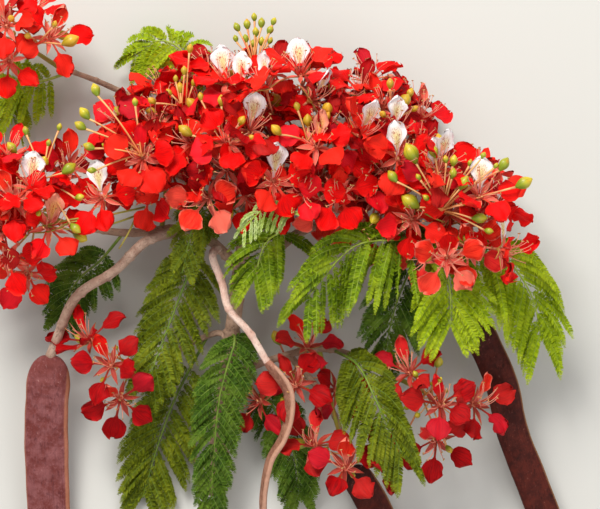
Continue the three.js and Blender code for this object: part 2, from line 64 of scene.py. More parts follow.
# Woody limbs: the limb that carries each and where, its radius at both ends, and its path
LIMBS = {
    "bough": (None, (14, 10), [(-122, -344, 14), (-112, -230, 34), (-96, -110, 64), (-78, 20, 100)]),
    "shoot_crown": (("bough", 1), (8, 5), [(-66, 80, 116), (-48, 148, 120)]),
    "shoot_left": (("bough", 0.9), (7.5, 4.5), [(-150, 34, 96), (-240, 30, 84), (-318, 40, 74)]),
    "shoot_right": (("bough", 0.84), (7.5, 4.5), [(10, 36, 104), (110, 44, 112), (192, 18, 118)]),
    "shoot_top_left": (
        ("shoot_crown", 0.3), (5.5, 3.5), [(-130, 130, 60), (-208, 205, 5), (-280, 244, 26), (-342, 266, 56)],
    ),
    "shoot_back": (("shoot_right", 0.5), (5.5, 4), [(110, 110, 70), (146, 176, 19), (160, 214, 3.8)]),
    "shoot_low_right": (("bough", 0.5), (5.5, 3.5), [(10, -136, 58), (80, -144, 56), (140, -176, 56)]),
    "shoot_low_left": (("bough", 0.62), (5.5, 3.5), [(-120, -112, 50), (-192, -146, 42)]),
    "stalk_left": (
        ("shoot_left", 0.36), (7, 7), [(-212, 20, 108), (-258, -22, 104), (-316, -62, 92), (-354, -145, 66)],
    ),
    "stalk_middle": (
        ("shoot_left", 0.16), (5.4, 4.8),
        [(-122, -2, 120), (-108, -40, 134), (-98, -76, 140), (-70, -108, 138), (-45, -150, 132)],
    ),
    "stalk_right": (("shoot_right", 0.97), (6, 6), [(222, -40, 106), (238, -88, 90)]),
    "stalk_low": (("shoot_low_right", 0.25), (4.5, 4.5), [(42, -215, 40), (74, -306, 28)]),
}

# Pods: the stalk, the width, the thickness, the turn at both ends in degrees, the finish and the path
PODS = {
    "pod_left": (
        "stalk_left", 62, 15, (0, 0), "pod_purple", [(-361, -250, 48), (-358, -420, 21), (-350, -612, 3)],
    ),
    "pod_right": (
        "stalk_right", 46, 14, (0, 0), "pod_dark",
        [(260, -126, 78), (285, -182, 66), (302, -252, 54), (332, -328, 40), (372, -432, 17), (400, -532, 2)],
    ),
    "pod_low": (
        "stalk_low", 46, 13, (0, 0), "pod_dark", [(110, -368, 22), (150, -460, 12), (184, -560, 4.4)],
    ),
    "pod_twisted": (
        "stalk_middle", 28, 9, (60, 84), "pod_pink",
        [
            (-18, -186, 128), (-15, -222, 122), (-24, -256, 113),
            (-43, -292, 100), (-52, -360, 76), (-42, -470, 30),
        ],
    ),
}

# Trusses: the limb and where, the heart, the axis, the turn, the reach, the blooms, how many of them are
# nodes of their own, and the buds
TRUSSES = {
    "front": ("shoot_crown", 0.6, (-96, 142, 136), (0, 0.1, 1), 0.2, 80, 7, 2, 3),
    "front_right": ("shoot_right", 0.42, (18, 138, 136), (0.05, 0.1, 1), 1.6, 80, 7, 2, 4),
    "left": ("shoot_left", 0.5, (-184, 150, 104), (-0.25, 0.1, 1), 0.4, 74, 7, 2, 3),
    "top": ("shoot_crown", 1, (-32, 188, 104), (0.05, 0.4, 0.9), 2.2, 78, 6, 2, 4),
    "upper_left": ("shoot_crown", 0.85, (-126, 184, 96), (-0.2, 0.4, 0.9), 1.1, 74, 5, 1, 3),
    "upper_right": ("shoot_right", 0.6, (88, 162, 106), (0.2, 0.3, 0.9), 0.9, 78, 7, 2, 4),
    "middle_right": ("shoot_right", 0.8, (138, 98, 130), (0.1, 0.2, 1), 2, 74, 5, 0, 3),
    "right": ("shoot_right", 1, (210, 48, 118), (0.15, 0.35, 0.9), 2.6, 72, 7, 2, 7),
    "far_left": ("shoot_left", 1, (-386, 66, 84), (-0.05, 0.1, 1), 1.3, 84, 6, 2, 3),
    "top_left": ("shoot_top_left", 1, (-400, 304, 66), (-0.1, 0.2, 1), 0.3, 66, 3, 0, 1),
    "low_right": ("shoot_low_right", 1, (188, -202, 64), (0.1, -0.1, 1), 1.9, 66, 4, 0, 2),
    "low_left": ("shoot_low_left", 1, (-252, -154, 48), (-0.2, 0, 1), 2.9, 62, 3, 0, 1),
    "low_middle": ("shoot_low_right", 0.4, (62, -284, 58), (0, -0.2, 1), 0.7, 62, 3, 0, 2),
    "low_centre": ("shoot_low_right", 0.2, (-6, -176, 34), (0, -0.1, 1), 2.3, 62, 4, 0, 1),
}
CROWN_TRUSSES = ("front", "front_right", "left", "top", "upper_left", "upper_right")
# Blooms round a truss, and the ones inside it that only the scene has: how far their spiral is turned, the
# places tried for each, the range of their own turn, how far out they are, as a share of the reach, and its
# range, and the spacing
OUTER_BLOOMS = (0, 8, 1.2, 0.92, 0.16, 56)
INNER_BLOOMS = (1, 9, 2.4, 0.62, 0.3, 34)
LOWEST_BLOOM = 26
FACES_UP = 0.45  # how far a bloom turns from its truss's heart towards the sky
FACES_CROWN = 0.4  # and towards the crown
TRUSS_OPENING = math.radians(96)
BUD_OPENING = math.radians(72)
BUD_REACH = 1.3
BUD_LENGTH = 24
CUP = 6
STEM_BOW = 6
PEDICEL_STEP = 7  # down a truss's stem, from one pedicel to the next
GOLDEN_ANGLE = math.pi * (3 - math.sqrt(5))

# The buds that stand clear of the petals, truss by truss: the tip of the truss's stem, and where the camera
# sees each bud's middle, with the bud's length
CLEAR_BUDS = {
    "right": ((198, 62, 224), [
        (156, 141, 31), (187, 144, 20), (195, 160, 18), (215, 131, 17), (204, 133, 12),
        (214, 113, 16), (229, 100, 22), (256, 138, 12), (285, 126, 22), (274, 124, 10),
        (313, 100, 26), (155, 74, 30), (130, 109, 20), (251, 51, 22), (264, 33, 14), (177, 79, 12),
        (166, 108, 11), (238, 128, 11), (232, 72, 10),
    ]),
    "upper_right": ((136, 188, 180), [
        (148, 215, 20), (154, 226, 15), (126, 239, 16), (116, 196, 14), (160, 204, 13),
    ]),
    "front_right": ((10, 158, 216), [
        (-33, 174, 20), (11, 187, 20), (-5, 207, 12), (37, 193, 15), (-4, 207, 14),
    ]),
    "top": ((-66, 268, 130), [
        (-88, 318, 15), (-74, 322, 16), (-62, 311, 15), (-54, 324, 16), (-42, 314, 15),
        (-54, 298, 14), (-76, 302, 14), (-64, 332, 13), (-37, 326, 13), (-90, 302, 12),
        (-42, 299, 12), (-66, 295, 12),
    ]),
    "front": ((-110, 152, 216), [
        (-160, 173, 23), (-110, 215, 17), (-82, 187, 16), (-139, 221, 13), (-69, 164, 11),
    ]),
    "upper_left": ((-166, 206, 172), [
        (-168, 233, 17), (-183, 227, 12), (-148, 241, 14), (-162, 257, 14), (-207, 215, 14),
        (-154, 288, 14), (-174, 246, 11),
    ]),
    "left": ((-222, 138, 204), [
        (-286, 230, 20), (-301, 197, 21), (-307, 180, 19), (-295, 151, 18), (-272, 152, 12),
        (-291, 118, 14), (-231, 213, 13),
    ]),
    "far_left": ((-358, 106, 160), [
        (-384, 173, 14), (-403, 149, 20), (-337, 178, 12), (-324, 120, 24), (-309, 80, 16),
        (-315, 37, 20), (-366, 58, 12), (-352, 156, 11),
    ]),
    "top_left": ((-366, 296, 120), [
        (-322, 299, 27), (-381, 306, 14), (-404, 330, 15), (-344, 322, 12),
    ]),
    "low_right": ((176, -196, 130), [
        (162, -168, 12), (150, -214, 11), (208, -272, 14), (196, -176, 10),
    ]),
}
GOLDEN_TRUSSES = ("front", "front_right", "upper_left", "upper_right", "top_left")  # whose buds are golden

# Where the camera sees the white standards' broad parts
WHITE_STANDARDS = [
    (-109, 279), (-81, 268), (-52, 272), (-4, 290), (38, 248), (102, 202), (134, 209), (137, 174), (188, 150),
    (207, 160), (256, 121), (284, 46), (-371, 132), (-280, 118), (-62, 214), (-36, 143),
]
STANDARD_AT = 38  # along a standard, from its bloom's heart to its broad part
STANDARD_RISE = 0.2  # radians, over level
STANDARDS_HEIGHT = 190
MOVED_BY = 40  # at most, a bloom whose standard shows
NEIGHBOURS = 54  # around a bloom whose standard shows, which stands clear of them
CLEAR_OF_NEIGHBOURS = 24
HIGHEST_BLOOM = 214
# Stems of blooms that show, each as the three points it bends through
SEEN_STEMS = [
    [(-216, 66, 120), (-268, 52, 162), (-318, 44, 158)], [(-220, 58, 118), (-290, 24, 160), (-352, 40, 152)],
    [(-318, 44, 158), (-356, 18, 162), (-398, 40, 130)], [(-300, 50, 158), (-350, 44, 166), (-404, 22, 122)],
    [(-228, 56, 112), (-236, 30, 128), (-252, 8, 120)], [(150, 70, 190), (170, 52, 214), (196, 44, 196)],
]
# Blooms that stand apart from the others of their truss, or face the camera: the truss and the heart
LONE_BLOOMS = [
    ("left", (-276, 84, 104)), ("far_left", (-322, 124, 112)), ("far_left", (-384, -26, 86)),
    ("right", (199, -4, 204)), ("left", (-214, 132, 190)), ("front_right", (50, 84, 200)),
]

# Leaves: the limb and where, the pairs of blades in the source, the longest blade, the droop, the finish and
# the path
LEAVES = {
    "leaf_right": (
        "shoot_right", 0.93, 9, 98, 1.6, "leaf_bright",
        [(238, 4, 140), (280, -2, 142), (322, -56, 116), (340, -122, 90)],
    ),
    "leaf_middle_right": (
        "shoot_right", 0.74, 9, 98, 1.2, "leaf_fresh",
        [(142, 22, 160), (72, 10, 176), (4, -66, 150)],
    ),
    "leaf_middle_back": (
        "shoot_right", 0.84, 6, 76, 0.9, "leaf_deep_and_painted_shade",
        [(156, -10, 112), (134, -70, 108), (118, -140, 84)],
    ),
    "leaf_young_front": (
        "shoot_right", 0.98, 7, 86, 0.8, "leaf_bright",
        [(200, -20, 158), (206, -54, 168), (206, -98, 160)],
    ),
    "leaf_centre": (
        "shoot_right", 0.2, 6, 76, 0.9, "leaf_fresh",
        [(-24, 30, 146), (-48, 14, 168), (-64, -36, 164)],
    ),
    "leaf_unfurling": (
        "shoot_right", 0.14, 4, 36, 0.6, "leaf_pale",
        [(-28, 40, 160), (-14, 54, 204), (-46, 62, 220), (-76, 36, 218)],
    ),
    "leaf_hanging_centre": (
        "bough", 0.66, 8, 56, 0.8, "leaf_deep_and_painted_shade",
        [(-92, -124, 98), (-112, -196, 92), (-122, -284, 70), (-128, -372, 44)],
    ),
    "leaf_hanging_left": (
        "shoot_left", 0.26, 8, 80, 0.8, "leaf_olive_and_painted_shade",
        [(-158, -30, 80), (-184, -96, 66), (-214, -176, 76)],
    ),
    "leaf_low_left": (
        "shoot_low_left", 0.6, 7, 84, 0.8, "leaf_olive_and_painted_shade",
        [(-176, -200, 36), (-206, -280, 24), (-226, -350, 12)],
    ),
    "leaf_low_right": (
        "shoot_low_right", 0.5, 8, 84, 1.6, "leaf_olive_and_painted_shade",
        [(82, -156, 112), (108, -208, 152), (144, -282, 146)],
    ),
    "leaf_low_middle": (
        "shoot_low_right", 0.08, 6, 60, 0.8, "leaf_deep_and_painted_shade",
        [(-40, -214, 40), (-10, -280, 34), (2, -356, 20)],
    ),
    "leaf_top_left": (
        "shoot_top_left", 0.93, 6, 64, 0.8, "leaf_bright",
        [(-372, 246, 44), (-406, 248, 34), (-414, 186, 20)],
    ),
    "leaf_top": (
        "shoot_top_left", 0.5, 6, 58, 0.8, "leaf_bright",
        [(-172, 254, 32), (-168, 290, 36), (-204, 305, 38), (-246, 276, 32)],
    ),
    "leaf_left": (
        "shoot_left", 0.7, 5, 60, 0.6, "leaf_deep_and_painted_shade",
        [(-282, -8, 66), (-318, -40, 54), (-344, -96, 36)],
    ),
    "leaf_under_blooms": (
        "shoot_crown", 0.25, 6, 50, 0.8, "leaf_olive_and_painted_shade",
        [(-108, 66, 126), (-144, 48, 134), (-164, -26, 120)],
    ),
}
ROW_STEP = 11.6  # along a leaf's rib, from one pair of rows of leaflets to the next
LEAF_FINISHES = ("leaf_bright", "leaf_fresh", "leaf_deep_and_painted_shade", "leaf_olive_and_painted_shade", "leaf_pale")


# Sums on points and curves


def smooth(low, high, value):
    """0 below low, 1 above high, and an S between them."""
    share = np.clip((value - low) / (high - low), 0, 1)
    return share * share * (3 - 2 * share)


def unit(vectors):
    vectors = np.asarray(vectors, float)
    return vectors / np.linalg.norm(vectors, axis=-1, keepdims=True)


def turned(vector, axis, angle):
    """A vector turned about an axis of length 1."""
    axis = np.asarray(axis, float)
    along = axis * np.sum(axis * vector, axis=-1, keepdims=True)
    return along + (vector - along) * np.cos(angle) + np.cross(axis, vector) * np.sin(angle)


def seeded(seed):
    """The source's own random numbers, from 0 to 1."""
    state, word = seed, 0xFFFFFFFF
    while True:
        state = (state + 0x6D2B79F5) & word
        mixed = ((state ^ (state >> 15)) * (1 | state)) & word
        mixed = ((mixed + ((mixed ^ (mixed >> 7)) * (61 | mixed) & word)) & word) ^ mixed
        yield ((mixed ^ (mixed >> 14)) & word) / 4294967296


class Curve:
    """The uniform Catmull-Rom curve through some points."""

    def __init__(self, points):
        self.points = np.array(points, float)

    def at(self, share):
        points = self.points
        knots = np.vstack([2 * points[0] - points[1], points, 2 * points[-1] - points[-2]])
        place = np.clip(np.asarray(share, float), 0, 1) * (len(points) - 1)
        first = np.minimum(place.astype(int), len(points) - 2)
        t = (place - first)[..., None]
        before, start, end, after = (knots[first + k] for k in range(4))
        leaving, arriving = (end - before) / 2, (after - start) / 2
        square = -3 * start + 3 * end - 2 * leaving - arriving
        cube = 2 * start - 2 * end + leaving + arriving
        return start + leaving * t + square * t**2 + cube * t**3

    def tangent(self, share):
        share = np.asarray(share, float)
        return unit(self.at(share + 1e-4) - self.at(share - 1e-4))

    def length(self):
        points = self.at(np.linspace(0, 1, 200))
        return np.linalg.norm(np.diff(points, axis=0), axis=1).sum()


def bent(start, middle, end, shares):
    """Points of a quadratic Bezier curve. Each argument may be many points, with a last axis of three."""
    t = np.asarray(shares, float)[:, None]
    start, middle, end = (np.asarray(p, float)[..., None, :] for p in (start, middle, end))
    return start * (1 - t) ** 2 + 2 * middle * t * (1 - t) + end * t**2


def swell(distance, width):
    """1 at no distance, and next to nothing from twice the width on."""
    return np.exp(-((distance / width) ** 2))


def swung(first, last, share):
    """Along a path of length 1 that sets out in one direction and swings to another."""
    return first * (share - share**2 / 2) + last * share**2 / 2


def under_the_camera(x, y, z):
    """What the camera sees at x and y, moved to where it is at the height z."""
    closer = (CAMERA_HEIGHT - z) / (CAMERA_HEIGHT - SHARP_HEIGHT)
    return np.array([x * closer, y * closer, z])


# Where everything grows


@functools.cache
def limb_curves():
    curves = {}
    for name, (carrier, _, path) in LIMBS.items():
        start = [curves[carrier[0]].at(carrier[1])] if carrier else []
        curves[name] = Curve(start + path)
    return curves


def spiral(axis, turn, count, opening):
    """Directions on a spiral that opens from an axis."""
    side = unit(np.cross(axis, TO_CROWN))
    leans = opening * np.sqrt(np.arange(count) / max(1, count - 1))
    turns = turn + np.arange(count) * GOLDEN_ANGLE
    return [turned(turned(axis, side, lean), axis, about) for lean, about in zip(leans, turns)]


def towards_crown(face):
    """Square to a face, and as near as that allows to the way to the crown."""
    return unit(TO_CROWN - face * face[1])


def facing_out(direction):
    """The way a bloom faces that grows in this direction from its truss's heart."""
    return unit(direction + FACES_UP * UP + FACES_CROWN * TO_CROWN)


class Bloom:
    """Where a bloom or a bud is, and which way it faces."""

    def __init__(self, heart, face, root, seed=0, roll=0.0):
        self.heart, self.face, self.root, self.seed, self.white = heart, face, root, seed, False
        self.stand(turned(towards_crown(face), face, roll))

    def stand(self, upright):
        """Turns it about its face, so that its standard points this way."""
        self.upright, self.side = upright, np.cross(self.face, upright)

    def placed(self, points):
        """Points from the bloom's own frame, where +X is upright and +Z is its face, in the layout."""
        return self.heart + points @ np.array([self.upright, self.side, self.face])

    def standard_lean(self):
        """The angle from its face to a standard that lies nearly level."""
        return math.pi / 2 - math.atan2(self.face[1], self.face[2]) - STANDARD_RISE

    def standard_middle(self):
        """Where the broad part of such a standard is."""
        lean = self.standard_lean()
        return self.heart + STANDARD_AT * (math.cos(lean) * self.face + math.sin(lean) * self.upright)


class Truss:
    """A truss's stem, and the blooms and buds on it."""

    def __init__(self, name):
        limb, at, heart, axis, self.turn, self.reach, self.count, self.nodes, self.closed = TRUSSES[name]
        self.name, self.heart, self.axis = name, np.array(heart, float), unit(axis)
        self.blooms, self.buds = [], []
        start = limb_curves()[limb].at(at)
        middle = (start + self.heart) / 2 - STEM_BOW * np.array(axis)
        self.stem = bent(start, middle, self.heart, np.linspace(0, 1, 60))
        lengths = np.linalg.norm(np.diff(self.stem, axis=0), axis=1)
        self.steps = np.concatenate([[0], np.cumsum(lengths)])

    def root(self, number):
        """Where the pedicel with this number leaves the stem."""
        length = self.steps[-1]
        share = max(0.35, 0.96 - PEDICEL_STEP * number / length)
        return np.array([np.interp(share * length, self.steps, self.stem[:, i]) for i in range(3)])

    def add_blooms(self, hearts, random, kind, numbers):
        """One bloom for each number, at the first free places on a spiral."""
        turn, tries, swing, nearest, deeper, spacing = kind
        numbers = list(numbers)
        for direction in spiral(self.axis, self.turn + turn, self.count * tries, TRUSS_OPENING):
            roll = (next(random) - 0.5) * swing
            place = self.heart + direction * self.reach * (nearest + deeper * next(random))
            crowded = any(np.linalg.norm(other - place) < spacing for other in hearts)
            if crowded or place[2] < LOWEST_BLOOM or not numbers:
                continue
            hearts.append(place)
            root = self.root(numbers.pop(0))
            self.blooms.append(Bloom(place, facing_out(direction), root, 100 * len(hearts), roll))

    def add_buds(self, first_seed):
        for index, direction in enumerate(spiral(self.axis, self.turn + 2, self.closed + 1, BUD_OPENING)[1:]):
            foot = self.heart + direction * (self.reach * BUD_REACH - BUD_LENGTH)
            self.buds.append(Bloom(foot, direction, self.root(index + 0.5), first_seed + 7 * index))

    def inner_numbers(self):
        """The numbers of its inner blooms' pedicels, which stand between those of the outer ones."""
        if self.name.startswith("low"):
            return []
        first = 4 if self.name == "right" else -2 if self.name in CROWN_TRUSSES else 0
        return [number + 0.25 for number in range(first, self.count)]


@functools.cache
def grown_trusses():
    """The trusses with all that grows on them.

    Outer blooms and buds are where the source has them, but for the blooms that show_whites moves.
    """
    trusses = {name: Truss(name) for name in TRUSSES}
    hearts = [truss.heart for truss in trusses.values()]
    for truss in trusses.values():
        random = seeded(round(truss.turn * 1000) + truss.count)
        truss.add_blooms(hearts, random, OUTER_BLOOMS, range(truss.count))
        truss.add_buds(100 * len(hearts))
    for truss in trusses.values():
        random = seeded(7 * truss.count + round(truss.reach))
        truss.add_blooms(hearts, random, INNER_BLOOMS, truss.inner_numbers())
    for index, (name, place) in enumerate(LONE_BLOOMS):
        place, truss = np.array(place, float), trusses[name]
        face = unit(unit(place - truss.heart) + 2 * UP)
        truss.blooms.append(Bloom(place, face, truss.root(2), 77 + 2 * index))
    show_whites([bloom for truss in trusses.values() for bloom in truss.blooms])
    return trusses


def show_whites(blooms):
    """Gives the bloom nearest each white standard's place a white one, and moves it to be seen there."""
    hearts = np.array([bloom.heart for bloom in blooms])
    for x, y in WHITE_STANDARDS:
        wanted = under_the_camera(x, y, STANDARDS_HEIGHT)[:2]
        broad = np.array([bloom.standard_middle()[:2] for bloom in blooms])
        taken = np.array([bloom.white for bloom in blooms])
        apart = np.linalg.norm(broad - wanted, axis=1) - 0.25 * hearts[:, 2] + 1e6 * taken
        index = int(apart.argmin())
        bloom = blooms[index]
        bloom.white = True
        bloom.stand(unit(bloom.upright + 1.5 * towards_crown(bloom.face)))
        near = np.linalg.norm(hearts[:, :2] - wanted, axis=1) < NEIGHBOURS
        height = max([bloom.heart[2], *(hearts[near, 2] + CLEAR_OF_NEIGHBOURS)])
        move = under_the_camera(x, y, height)[:2] - bloom.standard_middle()[:2]
        move *= min(1, MOVED_BY / np.linalg.norm(move))
        bloom.heart = np.array([*(bloom.heart[:2] + move), min(height, HIGHEST_BLOOM)])
        hearts[index] = bloom.heart


def every_bloom():
    return [(name, bloom) for name, truss in grown_trusses().items() for bloom in truss.blooms]


# Gathering meshes


class Pile:
    """The vertices, faces and finishes of one piece, gathered shape by shape.

    Each vertex has a place of three numbers for its material: how far along its petal, twig or leaf it is,
    how far across, and a shade that its whole shape shares.
    """

    def __init__(self):
        self.points, self.places, self.faces, self.slots, self.count = [], [], [], [], 0

    def add(self, points, faces, places, slot=0):
        """Adds a shape. faces are in groups, and slot is for all of them or one for each group."""
        points = np.asarray(points, float).reshape(-1, 3)
        for group, finish in zip(faces, np.broadcast_to(slot, len(faces))):
            self.faces.append(np.asarray(group, np.int64) + self.count)
            self.slots.append(np.full(len(group), finish))
        self.points.append(points)
        self.places.append(np.broadcast_to(places, points.shape))
        self.count += len(points)

    def stamp(self, points, faces, places, slot=0):
        """Adds many shapes with the same faces. points is (shapes, vertices, 3)."""
        shapes, size = points.shape[:2]
        offsets = np.arange(shapes)[:, None, None] * size
        all_faces = [(np.asarray(group) + offsets).reshape(-1, np.shape(group)[-1]) for group in faces]
        self.add(points, all_faces, np.broadcast_to(places, points.shape).reshape(-1, 3), slot)

    def make(self, name, finishes, lowest=None):
        """Makes the Blender object, in metres and in the part's own frame."""
        points = np.concatenate(self.points)
        if lowest is not None:  # what would dip under the ground lies on it
            points[:, 2] = lowest + (points[:, 2] - lowest + np.hypot(points[:, 2] - lowest, 2)) / 2
        corners = np.concatenate([group.ravel() for group in self.faces])
        sizes = np.concatenate([np.full(len(group), group.shape[1]) for group in self.faces])
        mesh = bpy.data.meshes.new(name)
        mesh.vertices.add(len(points))
        mesh.vertices.foreach_set("co", ((points + SHIFT) * MILLIMETRE).astype(np.float32).ravel())
        mesh.loops.add(len(corners))
        mesh.loops.foreach_set("vertex_index", corners.astype(np.int32))
        mesh.polygons.add(len(sizes))
        mesh.polygons.foreach_set("loop_start", (np.cumsum(sizes) - sizes).astype(np.int32))
        mesh.polygons.foreach_set("material_index", np.concatenate(self.slots).astype(np.int32))
        mesh.polygons.foreach_set("use_smooth", np.ones(len(sizes), bool))
        mesh.update(calc_edges=True)
        place = mesh.attributes.new("place", "FLOAT_VECTOR", "POINT")
        place.data.foreach_set("vector", np.concatenate(self.places).astype(np.float32).ravel())
        for finish in finishes:
            mesh.materials.append(finish)
        made = bpy.data.objects.new(name, mesh)
        bpy.context.scene.collection.objects.link(made)
        return made


def grid_faces(rows, columns):
    """Four-cornered faces of a grid of rows by columns of vertices."""
    corner = np.arange(rows - 1)[:, None] * columns + np.arange(columns - 1)
    return np.stack([corner + columns, corner + columns + 1, corner + 1, corner], -1).reshape(-1, 4)


def rim_faces(rows, columns):
    """Faces that close a sheet's upper grid to its lower one, all the way round."""
    index = np.arange(rows * columns).reshape(rows, columns)
    loop = np.concatenate([index[0, :-1], index[:-1, -1], index[-1, :0:-1], index[:0:-1, 0]])
    after, below = np.roll(loop, -1), rows * columns
    return np.stack([after, loop, loop + below, after + below], -1)


def ring_faces(rings, sides):
    """Faces of a tube whose rings are closed, with a face at both ends."""
    index = np.arange(rings * sides).reshape(rings, sides)
    after = np.roll(index, -1, axis=1)
    walls = np.stack([index[:-1], after[:-1], after[1:], index[1:]], -1).reshape(-1, 4)
    return walls, index[:1, ::-1], index[-1:]


def tube_frames(paths):
    """The two directions across each point of some paths, (shapes, points, 3)."""
    tangents = unit(np.gradient(paths, axis=1))
    chord = unit(paths[:, -1] - paths[:, 0])
    reference = np.where(np.abs(chord[:, 2:]) > 0.75, TO_CROWN, UP)[:, None]
    across = unit(np.cross(tangents, reference))
    return across, np.cross(across, tangents)


def add_tubes(pile, paths, radii, sides, slot=0, shades=0.5):
    """Round tubes along paths of (shapes, points, 3). radii is one for each point."""
    paths = np.asarray(paths, float)
    shapes, rings = paths.shape[:2]
    across, raised = (part[:, :, None] for part in tube_frames(paths))
    angle = (np.arange(sides) / sides * 2 * np.pi)[:, None]
    radii = np.broadcast_to(radii, (shapes, rings))[:, :, None, None]
    points = paths[:, :, None] + radii * (across * np.cos(angle) + raised * np.sin(angle))
    places = np.empty(points.shape)
    places[..., 0] = np.linspace(0, 1, rings)[:, None]
    places[..., 1] = np.sin(angle[:, 0])
    places[..., 2] = np.broadcast_to(shades, shapes)[:, None, None]
    faces = ring_faces(rings, sides)
    pile.stamp(points.reshape(shapes, -1, 3), faces, places.reshape(shapes, -1, 3), slot)


# Shader maths as Python expressions


def paint(code):
    """A colour from its six-figure code, as Blender's linear red, green, blue and alpha."""
    values = [int(code[k : k + 2], 16) / 255 for k in (0, 2, 4)]
    return (*[v / 12.92 if v <= 0.04045 else ((v + 0.055) / 1.055) ** 2.4 for v in values], 1.0)


def opaque(colour):
    return (*colour[:3], 1.0)


class Signal:
    """A socket's value. Arithmetic with it adds the Math nodes."""

    def __init__(self, shader, socket):
        self.shader, self.socket = shader, socket

    def maths(self, operation, *others):
        values = dict(enumerate([self, *others]))
        return self.shader.node("ShaderNodeMath", {"operation": operation}, values)[0]

    def flipped(self, operation, other):
        return self.shader.node("ShaderNodeMath", {"operation": operation}, {0: other, 1: self})[0]

    def __add__(self, other):
        return self.maths("ADD", other)

    def __sub__(self, other):
        return self.maths("SUBTRACT", other)

    def __mul__(self, other):
        return self.maths("MULTIPLY", other)

    def __truediv__(self, other):
        return self.maths("DIVIDE", other)

    def __pow__(self, other):
        return self.maths("POWER", other)

    def __rsub__(self, other):
        return self.flipped("SUBTRACT", other)

    def __rtruediv__(self, other):
        return self.flipped("DIVIDE", other)

    def __abs__(self):
        return self.maths("ABSOLUTE")

    __radd__ = __add__
    __rmul__ = __mul__

    def within(self, low, high):
        """0 at low, 1 at high, and an S between them."""
        in_an_s = {"interpolation_type": "SMOOTHSTEP"}
        return self.shader.node("ShaderNodeMapRange", in_an_s, {0: self, 1: low, 2: high})[0]


class Shader:
    """A material under construction."""

    def __init__(self, name):
        self.material = bpy.data.materials.new(name)
        self.material.use_nodes = True
        self.tree = self.material.node_tree
        self.tree.nodes.clear()

    def node(self, kind, settings=(), inputs=()):
        """Adds a node and returns its outputs as signals. A colour may be given by its code."""
        made = self.tree.nodes.new(kind)
        for name, value in dict(settings).items():
            setattr(made, name, value)
        for key, value in dict(inputs).items():
            if isinstance(value, Signal):
                self.tree.links.new(value.socket, made.inputs[key])
            else:
                made.inputs[key].default_value = paint(value) if isinstance(value, str) else value
        return [Signal(self, socket) for socket in made.outputs]

    def place(self):
        """Along, across and shade, as the meshes hold them."""
        vector = self.node("ShaderNodeAttribute", {"attribute_name": "place"})[1]
        return self.node("ShaderNodeSeparateXYZ", {}, {0: vector})

    def vector(self, x=0.0, y=0.0, z=0.0):
        return self.node("ShaderNodeCombineXYZ", {}, {0: x, 1: y, 2: z})[0]

    def position(self, stretch=(1, 1, 1)):
        where = self.node("ShaderNodeTexCoord")[3]
        return self.node("ShaderNodeVectorMath", {"operation": "MULTIPLY"}, {0: where, 1: stretch})[0]

    def noise(self, vector, scale, detail=2.0, roughness=0.5, distortion=0.0):
        inputs = {"Vector": vector, "Scale": scale, "Detail": detail, "Roughness": roughness}
        inputs["Distortion"] = distortion
        return self.node("ShaderNodeTexNoise", {}, inputs)[0]

    def spots(self, vector, scale):
        return self.node("ShaderNodeTexVoronoi", {}, {"Vector": vector, "Scale": scale})[0]

    def mix(self, share, first, second):
        inputs = {0: share, 6: first, 7: second}
        return self.node("ShaderNodeMix", {"data_type": "RGBA", "clamp_factor": True}, inputs)[2]

    def bump(self, height, distance):
        return self.node("ShaderNodeBump", {}, {"Height": height, "Distance": distance})[0]

    def finish(self, colour, roughness, normal=None, fixed=()):
        """The one shader of the material. `fixed` gives the sockets that are the same all over."""
        inputs = {"Base Color": colour, "Roughness": roughness}
        if normal is not None:
            inputs["Normal"] = normal
        inputs.update(fixed)
        surface = self.node("ShaderNodeBsdfPrincipled", {}, inputs)[0]
        self.node("ShaderNodeOutputMaterial", {}, {"Surface": surface})
        return self.material


# Finishes

SOFT = {"Specular IOR Level": 0.12}  # petals and leaves, which shine little


def petal_finish(name, body, deep, edge, claw, rimmed):
    shader = Shader(name)
    along, across, shade = shader.place()
    fanned = shader.vector(along * 2.2, across * 9 * (1.3 - along * 0.5), shade * 40)
    streak = shader.noise(fanned, 1.5, 3.0, 0.6)
    blotch = shader.noise(shader.position(), 60, 2.0)
    colour = shader.mix(streak.within(0.42, 0.7), body, deep)
    colour = shader.mix(blotch.within(0.5, 0.75) * 0.45, colour, deep)
    # Paler and pinkish tints on some petals, chosen at random per petal: partly their own tone, partly
    # painted sheen
    colour = shader.mix((shade - 0.5).within(0.1, 0.5) * 0.5, colour, edge)
    colour = shader.mix((1 - shade.within(0.02, 0.2)) * 0.4, colour, "e0243a")
    rim = (abs(across) ** 4).within(0.35, 1.0) + along.within(0.9, 1.0)
    colour = shader.mix(rim * rimmed, colour, edge)
    colour = shader.mix(1 - along.within(0.2, 0.48), colour, claw)
    veins = shader.noise(shader.vector(along * 3, across * 22, shade * 40), 1.6, 2.0, 0.5)
    height = streak * 0.6 + veins * 0.4
    return shader.finish(colour, 0.46 + streak * 0.2, shader.bump(height, 0.0009), SOFT)


def standard_finish(name, pale, yellow, fleck, edge):
    shader = Shader(name)
    along, across, shade = shader.place()
    crease = shader.noise(shader.vector(along * 3, across * 12, shade * 40), 1.4, 3.0)
    colour = shader.mix(crease.within(0.5, 0.8) * 0.3, pale, edge)
    heart = (1 - abs(across).within(0.1, 0.75)) * (1 - along.within(0.55, 0.9))
    colour = shader.mix(heart * 0.85, colour, yellow)
    flecks = shader.noise(shader.vector(along * 6, across * 10, shade * 25), 2.2, 2.0, 0.6).within(0.56, 0.62)
    reach = (1 - abs(across).within(0.3, 0.8)) * along.within(0.25, 0.45) * (1 - along.within(0.68, 0.9))
    colour = shader.mix(flecks * reach, colour, fleck)
    rim = (abs(across) ** 5).within(0.5, 1.0) * 0.5 * (1 - along.within(0.5, 0.9))
    colour = shader.mix(rim, colour, fleck)
    colour = shader.mix(1 - along.within(0.05, 0.3), colour, edge)
    return shader.finish(colour, 0.5 + crease * 0.15, shader.bump(crease, 0.0008), SOFT)


